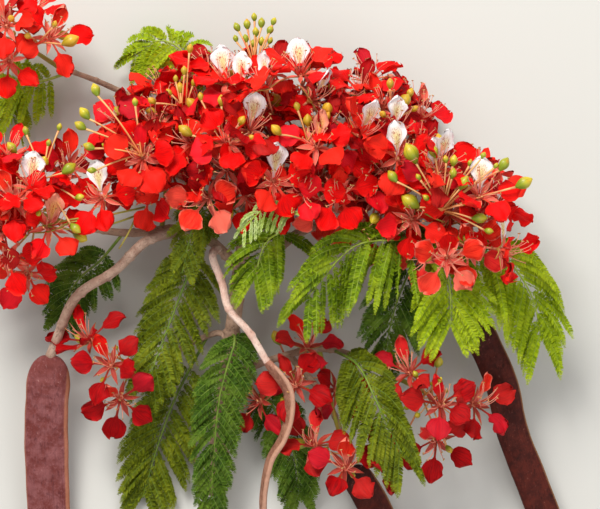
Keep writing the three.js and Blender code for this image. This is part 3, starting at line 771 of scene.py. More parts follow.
def sepal_finish(name, body, edge, tip):
    shader = Shader(name)
    along, across, shade = shader.place()
    streak = shader.noise(shader.vector(along * 3, across * 5, shade * 30), 2.0, 2.0)
    colour = shader.mix(streak.within(0.35, 0.75) * 0.6, body, tip)
    colour = shader.mix((abs(across) ** 3).within(0.2, 1.0) * 0.8, colour, edge)
    colour = shader.mix(along.within(0.7, 1.0) * 0.6, colour, tip)
    return shader.finish(colour, 0.5, shader.bump(streak, 0.0006))


def stem_finish(name, low, high, blush, grain=0.0004):
    """Twigs, stamens and leaf ribs: from the low colour at the root to the high one."""
    shader = Shader(name)
    along, _, shade = shader.place()
    streak = shader.noise(shader.position(), 90, 3.0, 0.6)
    colour = shader.mix(along.within(0.1, 0.9), low, high)
    colour = shader.mix(streak.within(0.42, 0.66) * (0.35 + shade * 0.6), colour, blush)
    return shader.finish(colour, 0.45 + streak * 0.2, shader.bump(streak, grain))


def bud_finish(name, green, gold, blush):
    shader = Shader(name)
    along, across, shade = shader.place()
    mottle = shader.noise(shader.position(), 110, 3.0)
    colour = shader.mix(along.within(0.25, 0.95) * (0.35 + shade * 0.65), green, gold)
    colour = shader.mix(mottle.within(0.5, 0.7) * along.within(0.4, 0.9) * 0.5, colour, blush)
    colour = shader.mix((1 - along.within(0.02, 0.2)) * 0.6, colour, "5c7316")
    seam = across.within(0.75, 1.0)
    colour = shader.mix(seam * 0.55, colour, "6d7a18")
    return shader.finish(colour, 0.36 + mottle * 0.2, shader.bump(mottle, 0.0005), {"Coat Weight": 0.08})


def leaf_finish(name, body, deep, light):
    shader = Shader(name)
    along, across, shade = shader.place()
    patch = shader.noise(shader.position(), 24, 3.0)
    colour = shader.mix(shade, deep, body)
    colour = shader.mix(patch.within(0.45, 0.7) * 0.5, colour, light)
    colour = shader.mix((1 - abs(across).within(0.0, 0.25)) * 0.35, colour, light)
    colour = shader.mix(along.within(0.7, 1.0) * 0.25, colour, light)
    # Shade over 0.95, at the ends of rows, turns to the light green: partly young leaflets' own colour,
    # partly painted highlight
    colour = shader.mix(shade.within(0.95, 1.5) * 0.8, colour, light)
    grain = shader.noise(shader.position(), 700, 2.0)
    return shader.finish(colour, 0.42 + patch * 0.2, shader.bump(grain + abs(across) * 0.6, 0.0004), SOFT)


def bark_finish(name, body, pale, dark):
    shader = Shader(name)
    along, across, shade = shader.place()
    fibre = shader.noise(shader.vector(along * 90, across * 8, shade * 9), 1.0, 4.0, 0.62)
    patch = shader.noise(shader.position(), 42, 4.0, 0.6)
    pores = 1 - shader.spots(shader.position((1, 0.5, 1)), 330).within(0.12, 0.3)
    marks = shader.noise(shader.position(), 150, 2.0).within(0.5, 0.62)
    colour = shader.mix(patch.within(0.35, 0.68), body, pale)
    colour = shader.mix(fibre.within(0.5, 0.75) * 0.7, colour, dark)
    colour = shader.mix(pores * marks * 0.7, colour, pale)
    height = fibre * 0.5 + patch * 0.3 + pores * marks * 0.5
    return shader.finish(colour, 0.62 + fibre * 0.25, shader.bump(height, 0.0016))


def cut_wood_finish(name):
    shader = Shader(name)
    across = shader.place()[1]
    fibre = shader.noise(shader.position(), 420, 3.0)
    rings = shader.noise(shader.vector(across * 9 + fibre * 0.4), 1.6, 1.0).within(0.4, 0.6)
    colour = shader.mix(rings * 0.6 + fibre * 0.2, "d8c39a", "b08a58")
    colour = shader.mix(across.within(0.86, 0.96), colour, "6a4a35")
    return shader.finish(colour, 0.75, shader.bump(rings + fibre, 0.0006))


def pod_finish(name, body, mottle, dark, edge, top, rims):
    """A woody shell. `top` is its shoulder's colour, and rims say where its paler rims start; these are
    partly the pod's own paler edges and partly painted highlight, stronger on one side.
    """
    shader = Shader(name)
    along, across, shade = shader.place()
    cloud = shader.noise(shader.position(), 52, 4.0, 0.65)
    crackle = shader.noise(shader.position((1.2, 0.8, 1)), 230, 5.0, 0.75, 0.3)
    streak = shader.noise(shader.vector(along * 4, across * 7, shade * 0.5), 2.2, 4.0, 0.6)
    wrinkle = shader.noise(shader.position((1.7, 0.7, 1.0)), 110, 4.0, 0.65, 0.6)
    shoulder = 1 - along.within(0.0, 0.22)
    colour = shader.mix(cloud.within(0.38, 0.66) * 0.75, body, mottle)
    colour = shader.mix(streak.within(0.5, 0.72) * 0.5, colour, dark)
    colour = shader.mix(shoulder * 0.75, colour, top)
    colour = shader.mix(crackle.within(0.5, 0.62) * 0.5, colour, mottle)
    colour = shader.mix(wrinkle.within(0.54, 0.7) * 0.6, colour, dark)
    colour = shader.mix(crackle.within(0.62, 0.72) * (0.2 + shoulder * 0.7), colour, "dcb4a4")
    # Pale rims along the edges, one stronger: partly the pod's own paler edges, partly painted highlight
    pale_rims_and_highlight = (0 - across).within(rims[0], rims[0] + 0.1) * 0.8 + across.within(rims[1], rims[1] + 0.08) * 0.6
    colour = shader.mix(pale_rims_and_highlight * (0.55 + crackle * 0.5), colour, edge)
    height = wrinkle * 0.5 + crackle * 0.5 + cloud * 0.3
    normal = shader.bump(height, 0.0022)
    return shader.finish(colour, 0.42 + wrinkle * 0.25, normal, {"Specular IOR Level": 0.2})


# Petals and sepals


class SheetShape:
    """A thin petal or sepal, as a grid that follows its midrib.

    outline(along) is its half width, claw the share of its length before its broad part, and rounding how far
    its edges fall short of its tip.
    """

    def __init__(self, steps, columns, outline, claw, rounding, thickness):
        rows = len(steps)
        self.outline, self.claw, self.rounding, self.thickness = outline, claw, rounding, thickness
        grid = np.meshgrid(steps, np.linspace(-1, 1, columns), indexing="ij")
        self.along, self.across = grid
        upper = grid_faces(rows, columns)
        self.faces = [upper, upper[:, ::-1] + rows * columns, rim_faces(rows, columns)]

    def shape(self, rng, azimuth, length, width, lean, curl, cup, crimp, foot):
        """Upper and lower points in the bloom's frame.

        It leans out from the bloom's face and curls back over its length. foot is the radius and the height
        of its root.
        """
        along, across = self.along, self.across
        limb = smooth(self.claw * 0.8, self.claw + 0.25, along)
        phase = rng.uniform(0, 2 * np.pi, 6)
        half = self.outline(along) * width * (1 + 0.045 * np.sin(17 * along + phase[0]) * limb)
        reach = along - self.rounding * smooth(self.claw * 0.7, 1, along) * np.abs(across) ** 2.2
        reach = reach + 0.02 * limb * smooth(0.7, 1, along) * np.sin(6 * across + phase[1])
        fine = np.linspace(0, 1, 33)
        angle = lean + curl * (fine - 0.45)
        step = length / 32
        turns = (angle[1:] + angle[:-1]) / 2
        outs = foot[0] + step * np.concatenate([[0], np.cumsum(np.sin(turns))])
        ups = foot[1] + step * np.concatenate([[0], np.cumsum(np.cos(turns))])
        theta = np.interp(reach, fine, angle)
        wave = np.sin(15 * along + phase[2] + 1.2 * np.sign(across)) + 0.4 * np.sin(26 * along + phase[3])
        frill = np.sin(5.5 * across + phase[4]) + 0.4 * np.sin(9 * across + phase[5])
        fan = np.cos(7 * across + 2 * np.sin(3 * along + phase[5]))
        lift = cup * across**2 + crimp * (across**2 * wave + smooth(0.6, 1, along) * frill * 0.6)
        lift = (lift + 0.35 * crimp * fan * (1 - across**2)) * limb
        radial = np.interp(reach, fine, outs) - np.cos(theta) * lift
        height = np.interp(reach, fine, ups) + np.sin(theta) * lift
        side = half * across * (1 - 0.02 * np.abs(lift))
        cosine, sine = math.cos(azimuth), math.sin(azimuth)

        def stand(out, aside, up):
            return np.stack([out * cosine - aside * sine, out * sine + aside * cosine, up], -1).reshape(-1, 3)

        upper = stand(radial, side, height)
        thick = self.thickness * (1.6 - along)
        lower = stand(radial + np.cos(theta) * thick, side, height - np.sin(theta) * thick)
        return np.concatenate([upper, lower])

    def places(self, shade):
        one = np.stack([self.along, self.across, np.full_like(self.along, shade)], -1).reshape(-1, 3)
        return np.concatenate([one, one])


def disc(along, centre, radius):
    """The half width of a disc, as a share of its radius."""
    return np.sqrt(np.clip(1 - ((along - centre) / radius) ** 2, 0.012, 1))


def petal_outline(along):
    return np.maximum(0.045, 0.5 * disc(along, 0.72, 0.285) * (along > 0.42))


def standard_outline(along):
    wedge = 0.06 + 0.44 * smooth(0.16, 0.72, along) ** 0.85
    return np.where(along < 0.7, wedge, 0.5 * disc(along, 0.7, 0.3))


def sepal_outline(along):
    return 0.5 * np.sin(np.pi * (0.22 + 0.75 * along**0.85)) * (1 - along**6)


LIMB_STEPS = 0.72 - 0.28 * np.cos(np.pi * np.linspace(0, 1, 9))
PETAL = SheetShape([0, 0.2, 0.38, *LIMB_STEPS], 9, petal_outline, 0.4, 0.06, 0.35)
STANDARD_STEPS = [0, 0.14, 0.28, 0.4, 0.5, 0.6, 0.7, 0.8, 0.9, 0.965, 1]
STANDARD = SheetShape(STANDARD_STEPS, 9, standard_outline, 0.3, 0.06, 0.4)
SEPAL = SheetShape(np.linspace(0, 1, 7), 3, sepal_outline, 0.1, 0.0, 0.7)
FIFTH = math.radians(72)  # from one petal to the next


def petal_spray(name, bloom):
    """Which red a bloom is: it follows where the bloom is on the branch."""
    # Blooms of the low trusses are crimson as painted shade, for the shade that the crown casts on them
    if name.startswith("low"):
        return 1
    x, y, _ = bloom.heart
    if name == "right" and y < 30 and x < 250 or y < 80 and -250 < x < 150:
        return 2
    # Elsewhere a bloom is crimson by its seed, as its own tone
    return 0 if bloom.seed % 400 else 1


# Operators


class Settings(bpy.types.PropertyGroup):
    """Sizes and colours that a user would change"""

    petal_length: FloatProperty(name="Petal length", description="From a bloom's heart to its petals' tips",
                                default=0.057, unit="LENGTH")
    petal_width: FloatProperty(name="Petal width", description="Across a petal's broad part", default=0.034,
                               unit="LENGTH")
    stamen_length: FloatProperty(name="Stamen length", description="Of a bloom's stamens", default=0.042,
                                 unit="LENGTH")
    petal_colour: FloatVectorProperty(name="Petals", description="The scarlet of most petals",
                                      subtype="COLOR", default=paint("ee0402")[:3], min=0, max=1)
    leaflet_length: FloatProperty(name="Leaflet length", description="Of the leaflets half way along a row",
                                  default=0.0076, unit="LENGTH")
    leaflet_step: FloatProperty(name="Leaflet step", description="Between one pair of leaflets and the next",
                                default=0.0023, unit="LENGTH")
    leaf_colour: FloatVectorProperty(name="Leaves", description="The green of the sunlit leaves",
                                     subtype="COLOR", default=paint("a0b80e")[:3], min=0, max=1)
    bark_colour: FloatVectorProperty(name="Bark", description="The bark's main colour", subtype="COLOR",
                                     default=paint("9c7d68")[:3], min=0, max=1)
    pod_colour: FloatVectorProperty(name="Pods", description="The main colour of the ripe purple pod",
                                    subtype="COLOR", default=paint("703330")[:3], min=0, max=1)
    floor_colour: FloatVectorProperty(name="Floor", description="The floor's plain colour", subtype="COLOR",
                                      default=paint("d2d2cf")[:3], min=0, max=1)
    key_power: FloatProperty(name="Key light", description="Power of the large soft light", default=255.0,
                             unit="POWER")


def settings():
    return bpy.context.scene.flame_branch


def attach(piece, slot, *nodes):
    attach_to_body(piece, "root")
    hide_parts(*nodes)


# The ridges of bark: how many go round the limb, their pitch along it, and their height as a share of its
# radius
RIDGES = ((2, 60, 0.035), (3, 34, 0.03), (5, 21, 0.022), (9, 12, 0.014), (13, 7, 0.008))
RING_STEP = 2.1
JOINT_STEP = 46


class MakeBark(bpy.types.Operator):
    """Makes the bough, its shoots and the pods' stalks, with the relief of their bark"""

    bl_idname = "flame_branch.bark"
    bl_label = "Bark"

    def execute(self, context):
        bark = settings().bark_colour
        finishes = [
            bark_finish("bark_grey", opaque(bark), "bd9c86", "54392b"),
            bark_finish("bark_pale", "d3a797", "f0d6c8", "8d5c4c"),
            cut_wood_finish("cut_wood"),
            bark_finish("bark_tan", "9f7d6c", "c9ab98", "5c4034"),
        ]
        for names, title in (
            ([n for n in LIMBS if not n.startswith("stalk")], "bark_of_shoots"),
            ([n for n in LIMBS if n.startswith("stalk")], "bark_of_stalks"),
        ):
            pile = Pile()
            for name in names:
                self.add_limb(pile, name, {"stalk_middle": 1, "stalk_left": 3}.get(name, 0))
            attach(pile.make(title, finishes, lowest=-0.7), "bark", *names)
        return {"FINISHED"}

    def add_limb(self, pile, name, slot):
        """A limb with ridges, swollen joints and a collar where it leaves its carrier."""
        rng = np.random.default_rng(sum(map(ord, name)))
        carrier, (first, last), _ = LIMBS[name]
        curve = limb_curves()[name]
        length = curve.length()
        rings, sides = int(length / RING_STEP), 36 if name == "bough" else 24
        share = np.linspace(0, 1, rings)
        path = curve.at(share)[None]
        across, raised = (part[0][:, None] for part in tube_frames(path))
        angle = np.arange(sides) / sides * 2 * np.pi
        angles, along = np.meshgrid(angle, share * length)
        radius = (first + (last - first) * share)[:, None] * np.ones(sides)
        relief = np.zeros_like(radius)
        for lobes, pitch, size in RIDGES:
            drift = rng.uniform(0, 2 * np.pi, 2)
            relief += size * np.sin(lobes * angles + drift[0] + 1.6 * np.sin(along / pitch + drift[1]))
        for joint in [*np.arange(rng.uniform(18, 34), length - 8, JOINT_STEP), length]:
            swollen = 0.16 + 0.12 * np.cos(angles - rng.uniform(0, 2 * np.pi))
            relief += swollen * swell(along - joint, 2.8) - 0.07 * swell(along - joint - 5, 1.6)
        if carrier:
            relief += (0.1 if name.startswith("stalk") else 0.35) * swell(along, 2.2 * first)
        radius = radius * (1 + relief)
        radius[-1] *= 0.8
        spoke = across * np.cos(angles)[..., None] + raised * np.sin(angles)[..., None]
        points = path[0][:, None] + spoke * radius[..., None]
        places = np.stack([along / 300, angles / np.pi - 1, np.full_like(along, rng.random())], -1)
        walls, start, end = ring_faces(rings, sides)
        faces = [walls, end] if name == "bough" else [walls, start, end]
        pile.add(points.reshape(-1, 3), faces, places.reshape(-1, 3), slot)
        if name == "bough":
            self.add_cut(pile, points[0], path[0][0])

    def add_cut(self, pile, rim, centre):
        """The sawn end, as rings of its own inside the bark."""
        shares = np.array([1, 0.93, 0.82, 0.66, 0.48, 0.3, 0.12])
        dish = np.array([0, 0.2, 0.5, 0.3, 0.6, 0.4, 0.7])[:, None, None]
        inward = unit(limb_curves()["bough"].at(0.02) - centre)
        points = centre + (rim - centre) * shares[:, None, None] + inward * dish
        places = np.zeros(points.shape)
        places[..., 1] = shares[:, None]
        rings, sides = points.shape[:2]
        walls, _, end = ring_faces(rings, sides)
        pile.add(points.reshape(-1, 3), [walls[:, ::-1], end[:, ::-1]], places.reshape(-1, 3), 2)


POD_NECK = 0.14  # share of a pod's length over which it rounds out from its stalk
POD_TIP = 0.1  # share over which it rounds off


class MakePods(bpy.types.Operator):
    """Makes the four flat woody pods"""

    bl_idname = "flame_branch.pods"
    bl_label = "Pods"

    def execute(self, context):
        colours = {
            "pod_purple": (
                opaque(settings().pod_colour), "925a5c", "4f2228", "bc7a5a", "80403c", (0.78, 0.9),
            ),
            "pod_dark": ("3f1009", "5e2015", "1e0502", "a2764e", "100201", (0.87, 2.0)),
            "pod_pink": ("8f5f4b", "c49078", "54301f", "d8a890", "a87260", (0.7, 0.8)),
        }
        finishes = {name: pod_finish(name, *row) for name, row in colours.items()}
        for name in PODS:
            pile = Pile()
            self.add_pod(pile, name)
            attach(pile.make(name + "_shell", [finishes[PODS[name][4]]], lowest=-0.7), "pod", name)
        return {"FINISHED"}

    def add_pod(self, pile, name):
        stalk, width, thickness, turn, _, path = PODS[name]
        carrier, neck_radius = limb_curves()[stalk], LIMBS[stalk][1][1]
        curve = Curve([carrier.at(1) - 2 * carrier.tangent(1), *path])
        length, rings, sides = curve.length(), 190, 48
        share = 0.5 - 0.5 * np.cos(np.pi * np.linspace(0, 1, rings))
        share = 0.6 * share + 0.4 * np.linspace(0, 1, rings)
        tangent, middle = curve.tangent(share), curve.at(share)
        chord = unit(curve.at(1) - curve.at(0))
        across = unit(np.cross(tangent, TO_CROWN if abs(chord[2]) > 0.75 else UP))
        raised = np.cross(across, tangent)
        angle = np.arange(sides) / sides * 2 * np.pi
        angles, along = np.meshgrid(angle, share * length)
        cosine, sine = np.cos(angles), np.sin(angles)
        neck = np.sqrt(1 - np.maximum(0, 1 - share / POD_NECK) ** 2)[:, None]
        past = np.maximum(0, (share - 1 + POD_TIP) / POD_TIP)
        tip = np.sqrt(np.maximum(0.02, 1 - past**2))[:, None]
        half = (neck_radius + (width / 2 - neck_radius) * neck) * tip
        deep = (neck_radius + (thickness / 2 - neck_radius) * neck) * tip
        square = 1 - 0.26 * neck
        x = np.sign(cosine) * np.abs(cosine) ** square
        y = np.sign(sine) * np.abs(sine) ** square
        flat = neck * tip
        rng = np.random.default_rng(sum(map(ord, name)))
        drift = rng.uniform(0, 2 * np.pi, 4)
        groove = -0.11 * swell(np.abs(x) - 0.78, 0.06)
        seeds = 0.07 * np.sin(along / 3.6 + drift[0]) * swell(x, 0.55)
        ripple = 0.05 * np.sin(along / 19 + 2 * x + drift[1]) + 0.04 * np.sin(along / 8 - 3 * x + drift[2])
        deep = deep * (1 + flat * (groove + seeds + ripple))
        half = half * (1 + flat * (0.012 * np.sin(along / 23 + drift[3]) + 0.008 * np.sin(along / 9)))
        twist = np.radians(turn[0] + (turn[1] - turn[0]) * share)[:, None]
        offset = across[:, None] * (x * half)[..., None] + raised[:, None] * (y * deep)[..., None]
        axis = np.broadcast_to(tangent[:, None], offset.shape)
        points = middle[:, None] + turned(offset, axis, twist[..., None])
        places = np.stack([along / length + 0 * x, x * (0.25 + 0.75 * neck), y], -1)
        pile.add(points.reshape(-1, 3), ring_faces(rings, sides), places.reshape(-1, 3))


# A bloom's cup: where its rings are along its face's direction, and their radii
CUP_STEPS = (-8, -6, -4, -2, 0, 1.2)
CUP_RADII = (1.7, 2.6, 4.4, 5.2, 4.6, 2.0)


class MakeTwigs(bpy.types.Operator):
    """Makes the trusses' peduncles, the twigs of blooms and buds, and the cups behind the petals"""

    bl_idname = "flame_branch.twigs"
    bl_label = "Twigs and cups"

    def execute(self, context):
        finishes = [
            stem_finish("twig_green", "8d8a2c", "a8a53a", "b4723c"),
            stem_finish("twig_blush", "b98a3e", "d98a63", "c5483a"),
        ]
        pile = Pile()
        share = np.linspace(0, 1, 13)
        thick = 1.45 + 0.5 * swell(share, 0.08) + 0.55 * swell(1 - share, 0.1)
        for truss in grown_trusses().values():
            stem, blooms = truss.stem, truss.blooms
            radii = np.linspace(3.6, 2.3, len(stem)) * (1 + 0.12 * swell(np.linspace(0, 1, len(stem)), 0.06))
            add_tubes(pile, stem[None, ::2], radii[::2], 10, 0, 0.2)
            for flower, foot, bow in [(b, CUP, 0.4) for b in blooms] + [(b, -4, 0.28) for b in truss.buds]:
                end = flower.heart - flower.face * foot
                length = np.linalg.norm(end - flower.root)
                path = bent(flower.root, end - flower.face * length * bow, end, share)
                add_tubes(pile, path[None], thick, 7, 1, (flower.seed % 17) / 17)
            hearts, faces = (np.array([getattr(b, k) for b in blooms]) for k in ("heart", "face"))
            cups = hearts[:, None] + faces[:, None] * np.array(CUP_STEPS)[:, None]
            add_tubes(pile, cups, CUP_RADII, 10, 1, 0.4)
        for stem in SEEN_STEMS:
            add_tubes(pile, bent(*stem, np.linspace(0, 1, 16))[None], np.linspace(1.5, 1.1, 16), 7, 0, 0.1)
        nodes = ["truss_" + name for name in TRUSSES]
        attach(pile.make("twigs", finishes, lowest=0.4), "truss", *nodes)
        return {"FINISHED"}


class MakePetals(bpy.types.Operator):
    """Makes each bloom's four red petals, its pale standard and its sepals"""

    bl_idname = "flame_branch.petals"
    bl_label = "Petals and sepals"

    def execute(self, context):
        petal = opaque(settings().petal_colour)
        reds = [
            petal_finish("petal_scarlet", petal, "cc0406", "f83c26", "ea5640", 0.4),
            # Crimson: the own tone of some blooms and standards, and painted shade on every bloom of the low
            # trusses
            petal_finish("petal_crimson_and_painted_shade", "b00006", "7c0006", "cc2c26", "a83a28", 0.3),
            petal_finish("petal_coral", "ee341e", "d8140c", "f8907a", "f09078", 0.7),
        ]
        pale = [
            standard_finish("standard_white", "fffafd", "f4e08c", "b41c28", "f4ccd4"),
            standard_finish("standard_aged", "f29a80", "f0b860", "c8202c", "ec6a5c"),
        ]
        insides = [
            sepal_finish("sepal_inside", "ff6452", "ffbc9c", "ff8c76"),
            sepal_finish("sepal_outside", "a8a83c", "c8bb56", "c98a4c"),
            # The darker insides of the sepals of the low trusses' blooms: painted shade
            sepal_finish("sepal_in_painted_shade", "b83026", "e0785c", "cc5a40"),
        ]
        crown, outer, standards, sepals = Pile(), Pile(), Pile(), Pile()
        length = settings().petal_length / MILLIMETRE
        width = settings().petal_width / MILLIMETRE
        for name, bloom in every_bloom():
            rng = np.random.default_rng(bloom.seed)
            petals, broad = (crown, 1.2) if name in CROWN_TRUSSES else (outer, 1.04)
            self.add_petals(petals, bloom, rng, length, width * broad, petal_spray(name, bloom))
            self.add_standard(petals, standards, bloom, rng, length, width)
            # Blooms of the low trusses take the darker sepal insides, as painted shade
            self.add_sepals(sepals, bloom, rng, 2 if name.startswith("low") else 0)
        apart = {True: [], False: []}
        for name, truss in grown_trusses().items():
            apart[name in CROWN_TRUSSES] += [f"bloom_{name}_{k + 1}" for k in range(truss.nodes)]
        attach(crown.make("petals_of_crown", reds, lowest=0.4), "petal", *apart[True])
        attach(outer.make("petals_of_outer_trusses", reds, lowest=0.4), "petal", *apart[False])
        attach(standards.make("standards", pale, lowest=0.4), "petal")
        attach(sepals.make("sepals", insides, lowest=0.4), "petal")
        return {"FINISHED"}

    def add_petals(self, pile, bloom, rng, length, width, slot):
        """The four petals besides the standard."""
        for index in range(1, 5):
            azimuth = index * FIFTH + rng.uniform(-0.16, 0.16)
            local = PETAL.shape(
                rng, azimuth, length * rng.uniform(0.92, 1.1), width * rng.uniform(0.88, 1.1),
                math.radians(rng.uniform(44, 90)), math.radians(rng.uniform(10, 75)), rng.uniform(-6, 7),
                rng.uniform(2.2, 4.8), (3.2, -0.6),
            )
            pile.add(bloom.placed(local), PETAL.faces, PETAL.places(rng.random()), slot)

    def add_standard(self, petals, standards, bloom, rng, length, width):
        """The upright petal: broad and white where it shows, and narrower and mostly red elsewhere."""
        white, aged = bloom.white, rng.random() < 0.16
        wide, curl, cup = ((0.94, 1.08), (10, 36), (1, 3)) if white else ((0.5, 0.9), (-6, 50), (3, 7))
        local = STANDARD.shape(
            rng, rng.uniform(-0.1, 0.1), length * rng.uniform(0.86, 0.94), width * rng.uniform(*wide),
            bloom.standard_lean() if white else math.radians(rng.uniform(44, 66)),
            math.radians(rng.uniform(*curl)), rng.uniform(*cup), rng.uniform(1.2, 2.4), (3.0, -0.4),
        )
        points, places = bloom.placed(local), STANDARD.places(rng.random())
        if white or aged:
            standards.add(points, STANDARD.faces, places, 0 if white else 1)
        else:
            petals.add(points, STANDARD.faces, places, rng.integers(3))

    def add_sepals(self, pile, bloom, rng, inside):
        """Five sepals between the petals, each with one finish inside and another outside."""
        for index in range(5):
            azimuth = (index + 0.5) * FIFTH + rng.uniform(-0.08, 0.08)
            local = SEPAL.shape(
                rng, azimuth, rng.uniform(24, 29), rng.uniform(7.2, 8.8), math.radians(rng.uniform(70, 98)),
                math.radians(rng.uniform(10, 50)), rng.uniform(0.5, 1.5), 0.25, (4.2, -1.6),
            )
            pile.add(bloom.placed(local), SEPAL.faces, SEPAL.places(rng.random()), [inside, 1, 1])


STAMENS = 10
# An anther: where its rings are along it, and their radii
ANTHER_STEPS = (-2.3, -1.6, 0, 1.6, 2.3)
ANTHER_RADII = (0.25, 0.75, 0.9, 0.75, 0.25)


class MakeStamens(bpy.types.Operator):
    """Makes the ten stamens of each bloom, with their anthers"""

    bl_idname = "flame_branch.stamens"
    bl_label = "Stamens"

    def execute(self, context):
        finishes = [
            stem_finish("stamen_red", "e4443a", "f59a84", "f6b08c", 0.0002),
            stem_finish("anther", "b87838", "dcae70", "8c4a28", 0.0003),
        ]
        pile = Pile()
        length = settings().stamen_length / MILLIMETRE
        share = np.linspace(0, 1, 7)[:, None]
        for _, bloom in every_bloom():
            rng = np.random.default_rng(bloom.seed + 1)
            angles = np.arange(STAMENS) * 2 * np.pi / STAMENS + rng.uniform(-0.2, 0.2, STAMENS)
            ring = np.outer(np.cos(angles), bloom.upright) + np.outer(np.sin(angles), bloom.side)
            root = bloom.heart + ring * 2.2
            first = unit(bloom.face + 0.32 * ring - 0.2 * bloom.upright)
            last = 0.5 * bloom.face + 0.4 * ring + 0.55 * bloom.upright
            last = unit(last + rng.normal(0, 0.22, (STAMENS, 3)))
            reach = (length * rng.uniform(0.82, 1.12, STAMENS))[:, None, None]
            paths = root[:, None] + reach * swung(first[:, None], last[:, None], share)
            add_tubes(pile, paths, np.linspace(0.9, 0.5, 7), 3, 0, rng.random(STAMENS))
            across = unit(np.cross(last, rng.normal(0, 1, (STAMENS, 3))))
            anthers = paths[:, -1:] + across[:, None] * np.array(ANTHER_STEPS)[:, None]
            add_tubes(pile, anthers, ANTHER_RADII, 4, 1, rng.random(STAMENS))
        attach(pile.make("stamens", finishes, lowest=0.4), "petal")
        return {"FINISHED"}


YOUNG_BUDS = 7  # by each truss's heart
HIGHEST_BUD = 250
BUD_WIDTH = 0.33  # half of it, as a share of the bud's length


class MakeBuds(bpy.types.Operator):
    """Makes the buds: between the blooms, clear of the petals and at each truss's heart"""

    bl_idname = "flame_branch.buds"
    bl_label = "Buds"

    def execute(self, context):
        finishes = [
            bud_finish("bud_green", "82981a", "dcc42a", "e0742a"),
            bud_finish("bud_golden", "b49a1c", "e8b42a", "e47c30"),
        ]
        twig = [stem_finish("twig_of_small_buds", "d88a44", "e8b878", "e0764c")]
        pile, twigs = Pile(), Pile()
        for name, truss in grown_trusses().items():
            golden = name in GOLDEN_TRUSSES
            for bud in truss.buds:
                rng = np.random.default_rng(bud.seed)
                self.add_bud(pile, bud, BUD_LENGTH * rng.uniform(0.86, 1.04), rng, golden)
            if name in CLEAR_BUDS:
                self.add_clear(pile, twigs, truss, golden)
            self.add_young(pile, twigs, truss, golden)
        attach(pile.make("buds", finishes), "truss")
        attach(twigs.make("twigs_of_small_buds", twig), "truss")
        return {"FINISHED"}

    def add_clear(self, pile, twigs, truss, golden):
        """The buds that stand clear, each on a twig from the tip of the truss's stem."""
        at, rows = CLEAR_BUDS[truss.name]
        tip = under_the_camera(*at)
        share = np.linspace(0, 1, 14)
        stem = bent(truss.heart, (truss.heart + tip) / 2 + STEM_BOW * TO_CROWN, tip, share)
        add_tubes(twigs, stem[None], np.linspace(2.4, 1.5, 14), 7, 0, 0.3)
        thick = 1.15 + 0.5 * swell(1 - share, 0.12) + 0.4 * swell(share, 0.08)
        hearts = np.array([bloom.heart for _, bloom in every_bloom()])
        for index, (x, y, length) in enumerate(rows):
            rng = np.random.default_rng(abs(x) * 400 + abs(y))
            near = hearts[np.hypot(hearts[:, 0] - x, hearts[:, 1] - y) < 42, 2]
            middle = under_the_camera(x, y, min(HIGHEST_BUD, max([tip[2] - 6, *near + 22])))
            start = stem[-1 - index % 3]
            face = unit(unit(middle - start) + 0.3 * TO_CROWN + rng.normal(0, 0.14, 3))
            foot = middle - face * length / 2
            self.add_bud(pile, Bloom(foot, face, start), length, rng, golden)
            bow = np.linalg.norm(foot - start) * rng.uniform(0.04, 0.16)
            path = bent(start, (start + foot) / 2 + bow * unit(UP + TO_CROWN), foot + face, share)
            add_tubes(twigs, path[None], thick, 6, 0, rng.random())

    def add_young(self, pile, twigs, truss, golden):
        """The small buds by the truss's heart."""
        heart = truss.heart
        rng = np.random.default_rng(int(abs(heart).sum()))
        for direction in spiral(truss.axis, rng.uniform(0, 6), YOUNG_BUDS, math.radians(70)):
            out, length = rng.uniform(30, 52), rng.uniform(8, 13)
            direction = unit(direction + rng.normal(0, 0.12, 3))
            foot = heart + direction * (out - length)
            face = unit(direction + 0.3 * UP + 0.3 * TO_CROWN)
            self.add_bud(pile, Bloom(foot, face, heart), length, rng, golden)
            path = bent(heart, foot - face * (out - length) * 0.3, foot + face, np.linspace(0, 1, 8))
            add_tubes(twigs, path[None], np.linspace(1.2, 0.85, 8), 5, 0, rng.random())

    def add_bud(self, pile, bud, length, rng, golden):
        """An egg with its broad end outwards and the seams of its five sepals."""
        rings, sides = 10, 15
        share = np.linspace(0, 1, rings)
        angle = np.arange(sides) / sides * 2 * np.pi
        angles, along = np.meshgrid(angle, share)
        profile = np.sin(np.pi * np.clip(along, 0.02, 0.985) ** 1.22) ** 0.72
        seam = np.abs(np.cos(2.5 * angles)) ** 14
        width = length * BUD_WIDTH * profile * (1 - 0.09 * seam * np.sin(np.pi * along))
        rise = (along - 0.02) * length
        tip = 0.03 * length * smooth(0.93, 1, along)
        local = np.stack([np.cos(angles) * width, np.sin(angles) * width, rise + tip], -1)
        places = np.stack([along, seam, np.full_like(along, rng.random())], -1).reshape(-1, 3)
        pile.add(bud.placed(local.reshape(-1, 3)), ring_faces(rings, sides), places, int(golden))


# Round a leaflet, in shares of its length: along, across and raised
LEAFLET_OUTLINE = np.array([
    (-0.08, 0, -0.03), (0.16, 0.18, 0.04), (0.78, 0.16, 0.04),
    (1, 0, -0.02), (0.78, -0.16, 0.04), (0.16, -0.18, 0.04),
])
ROWS_OF_YOUNG = 9  # pairs of them
ROWS_LEAN = (78, 34)  # degrees from the leaf's rib, for its first pair of rows and its last
LEAFLETS_LEAN = 63  # degrees from the row's rib
YOUNG_LEAFLETS_LEAN = 30


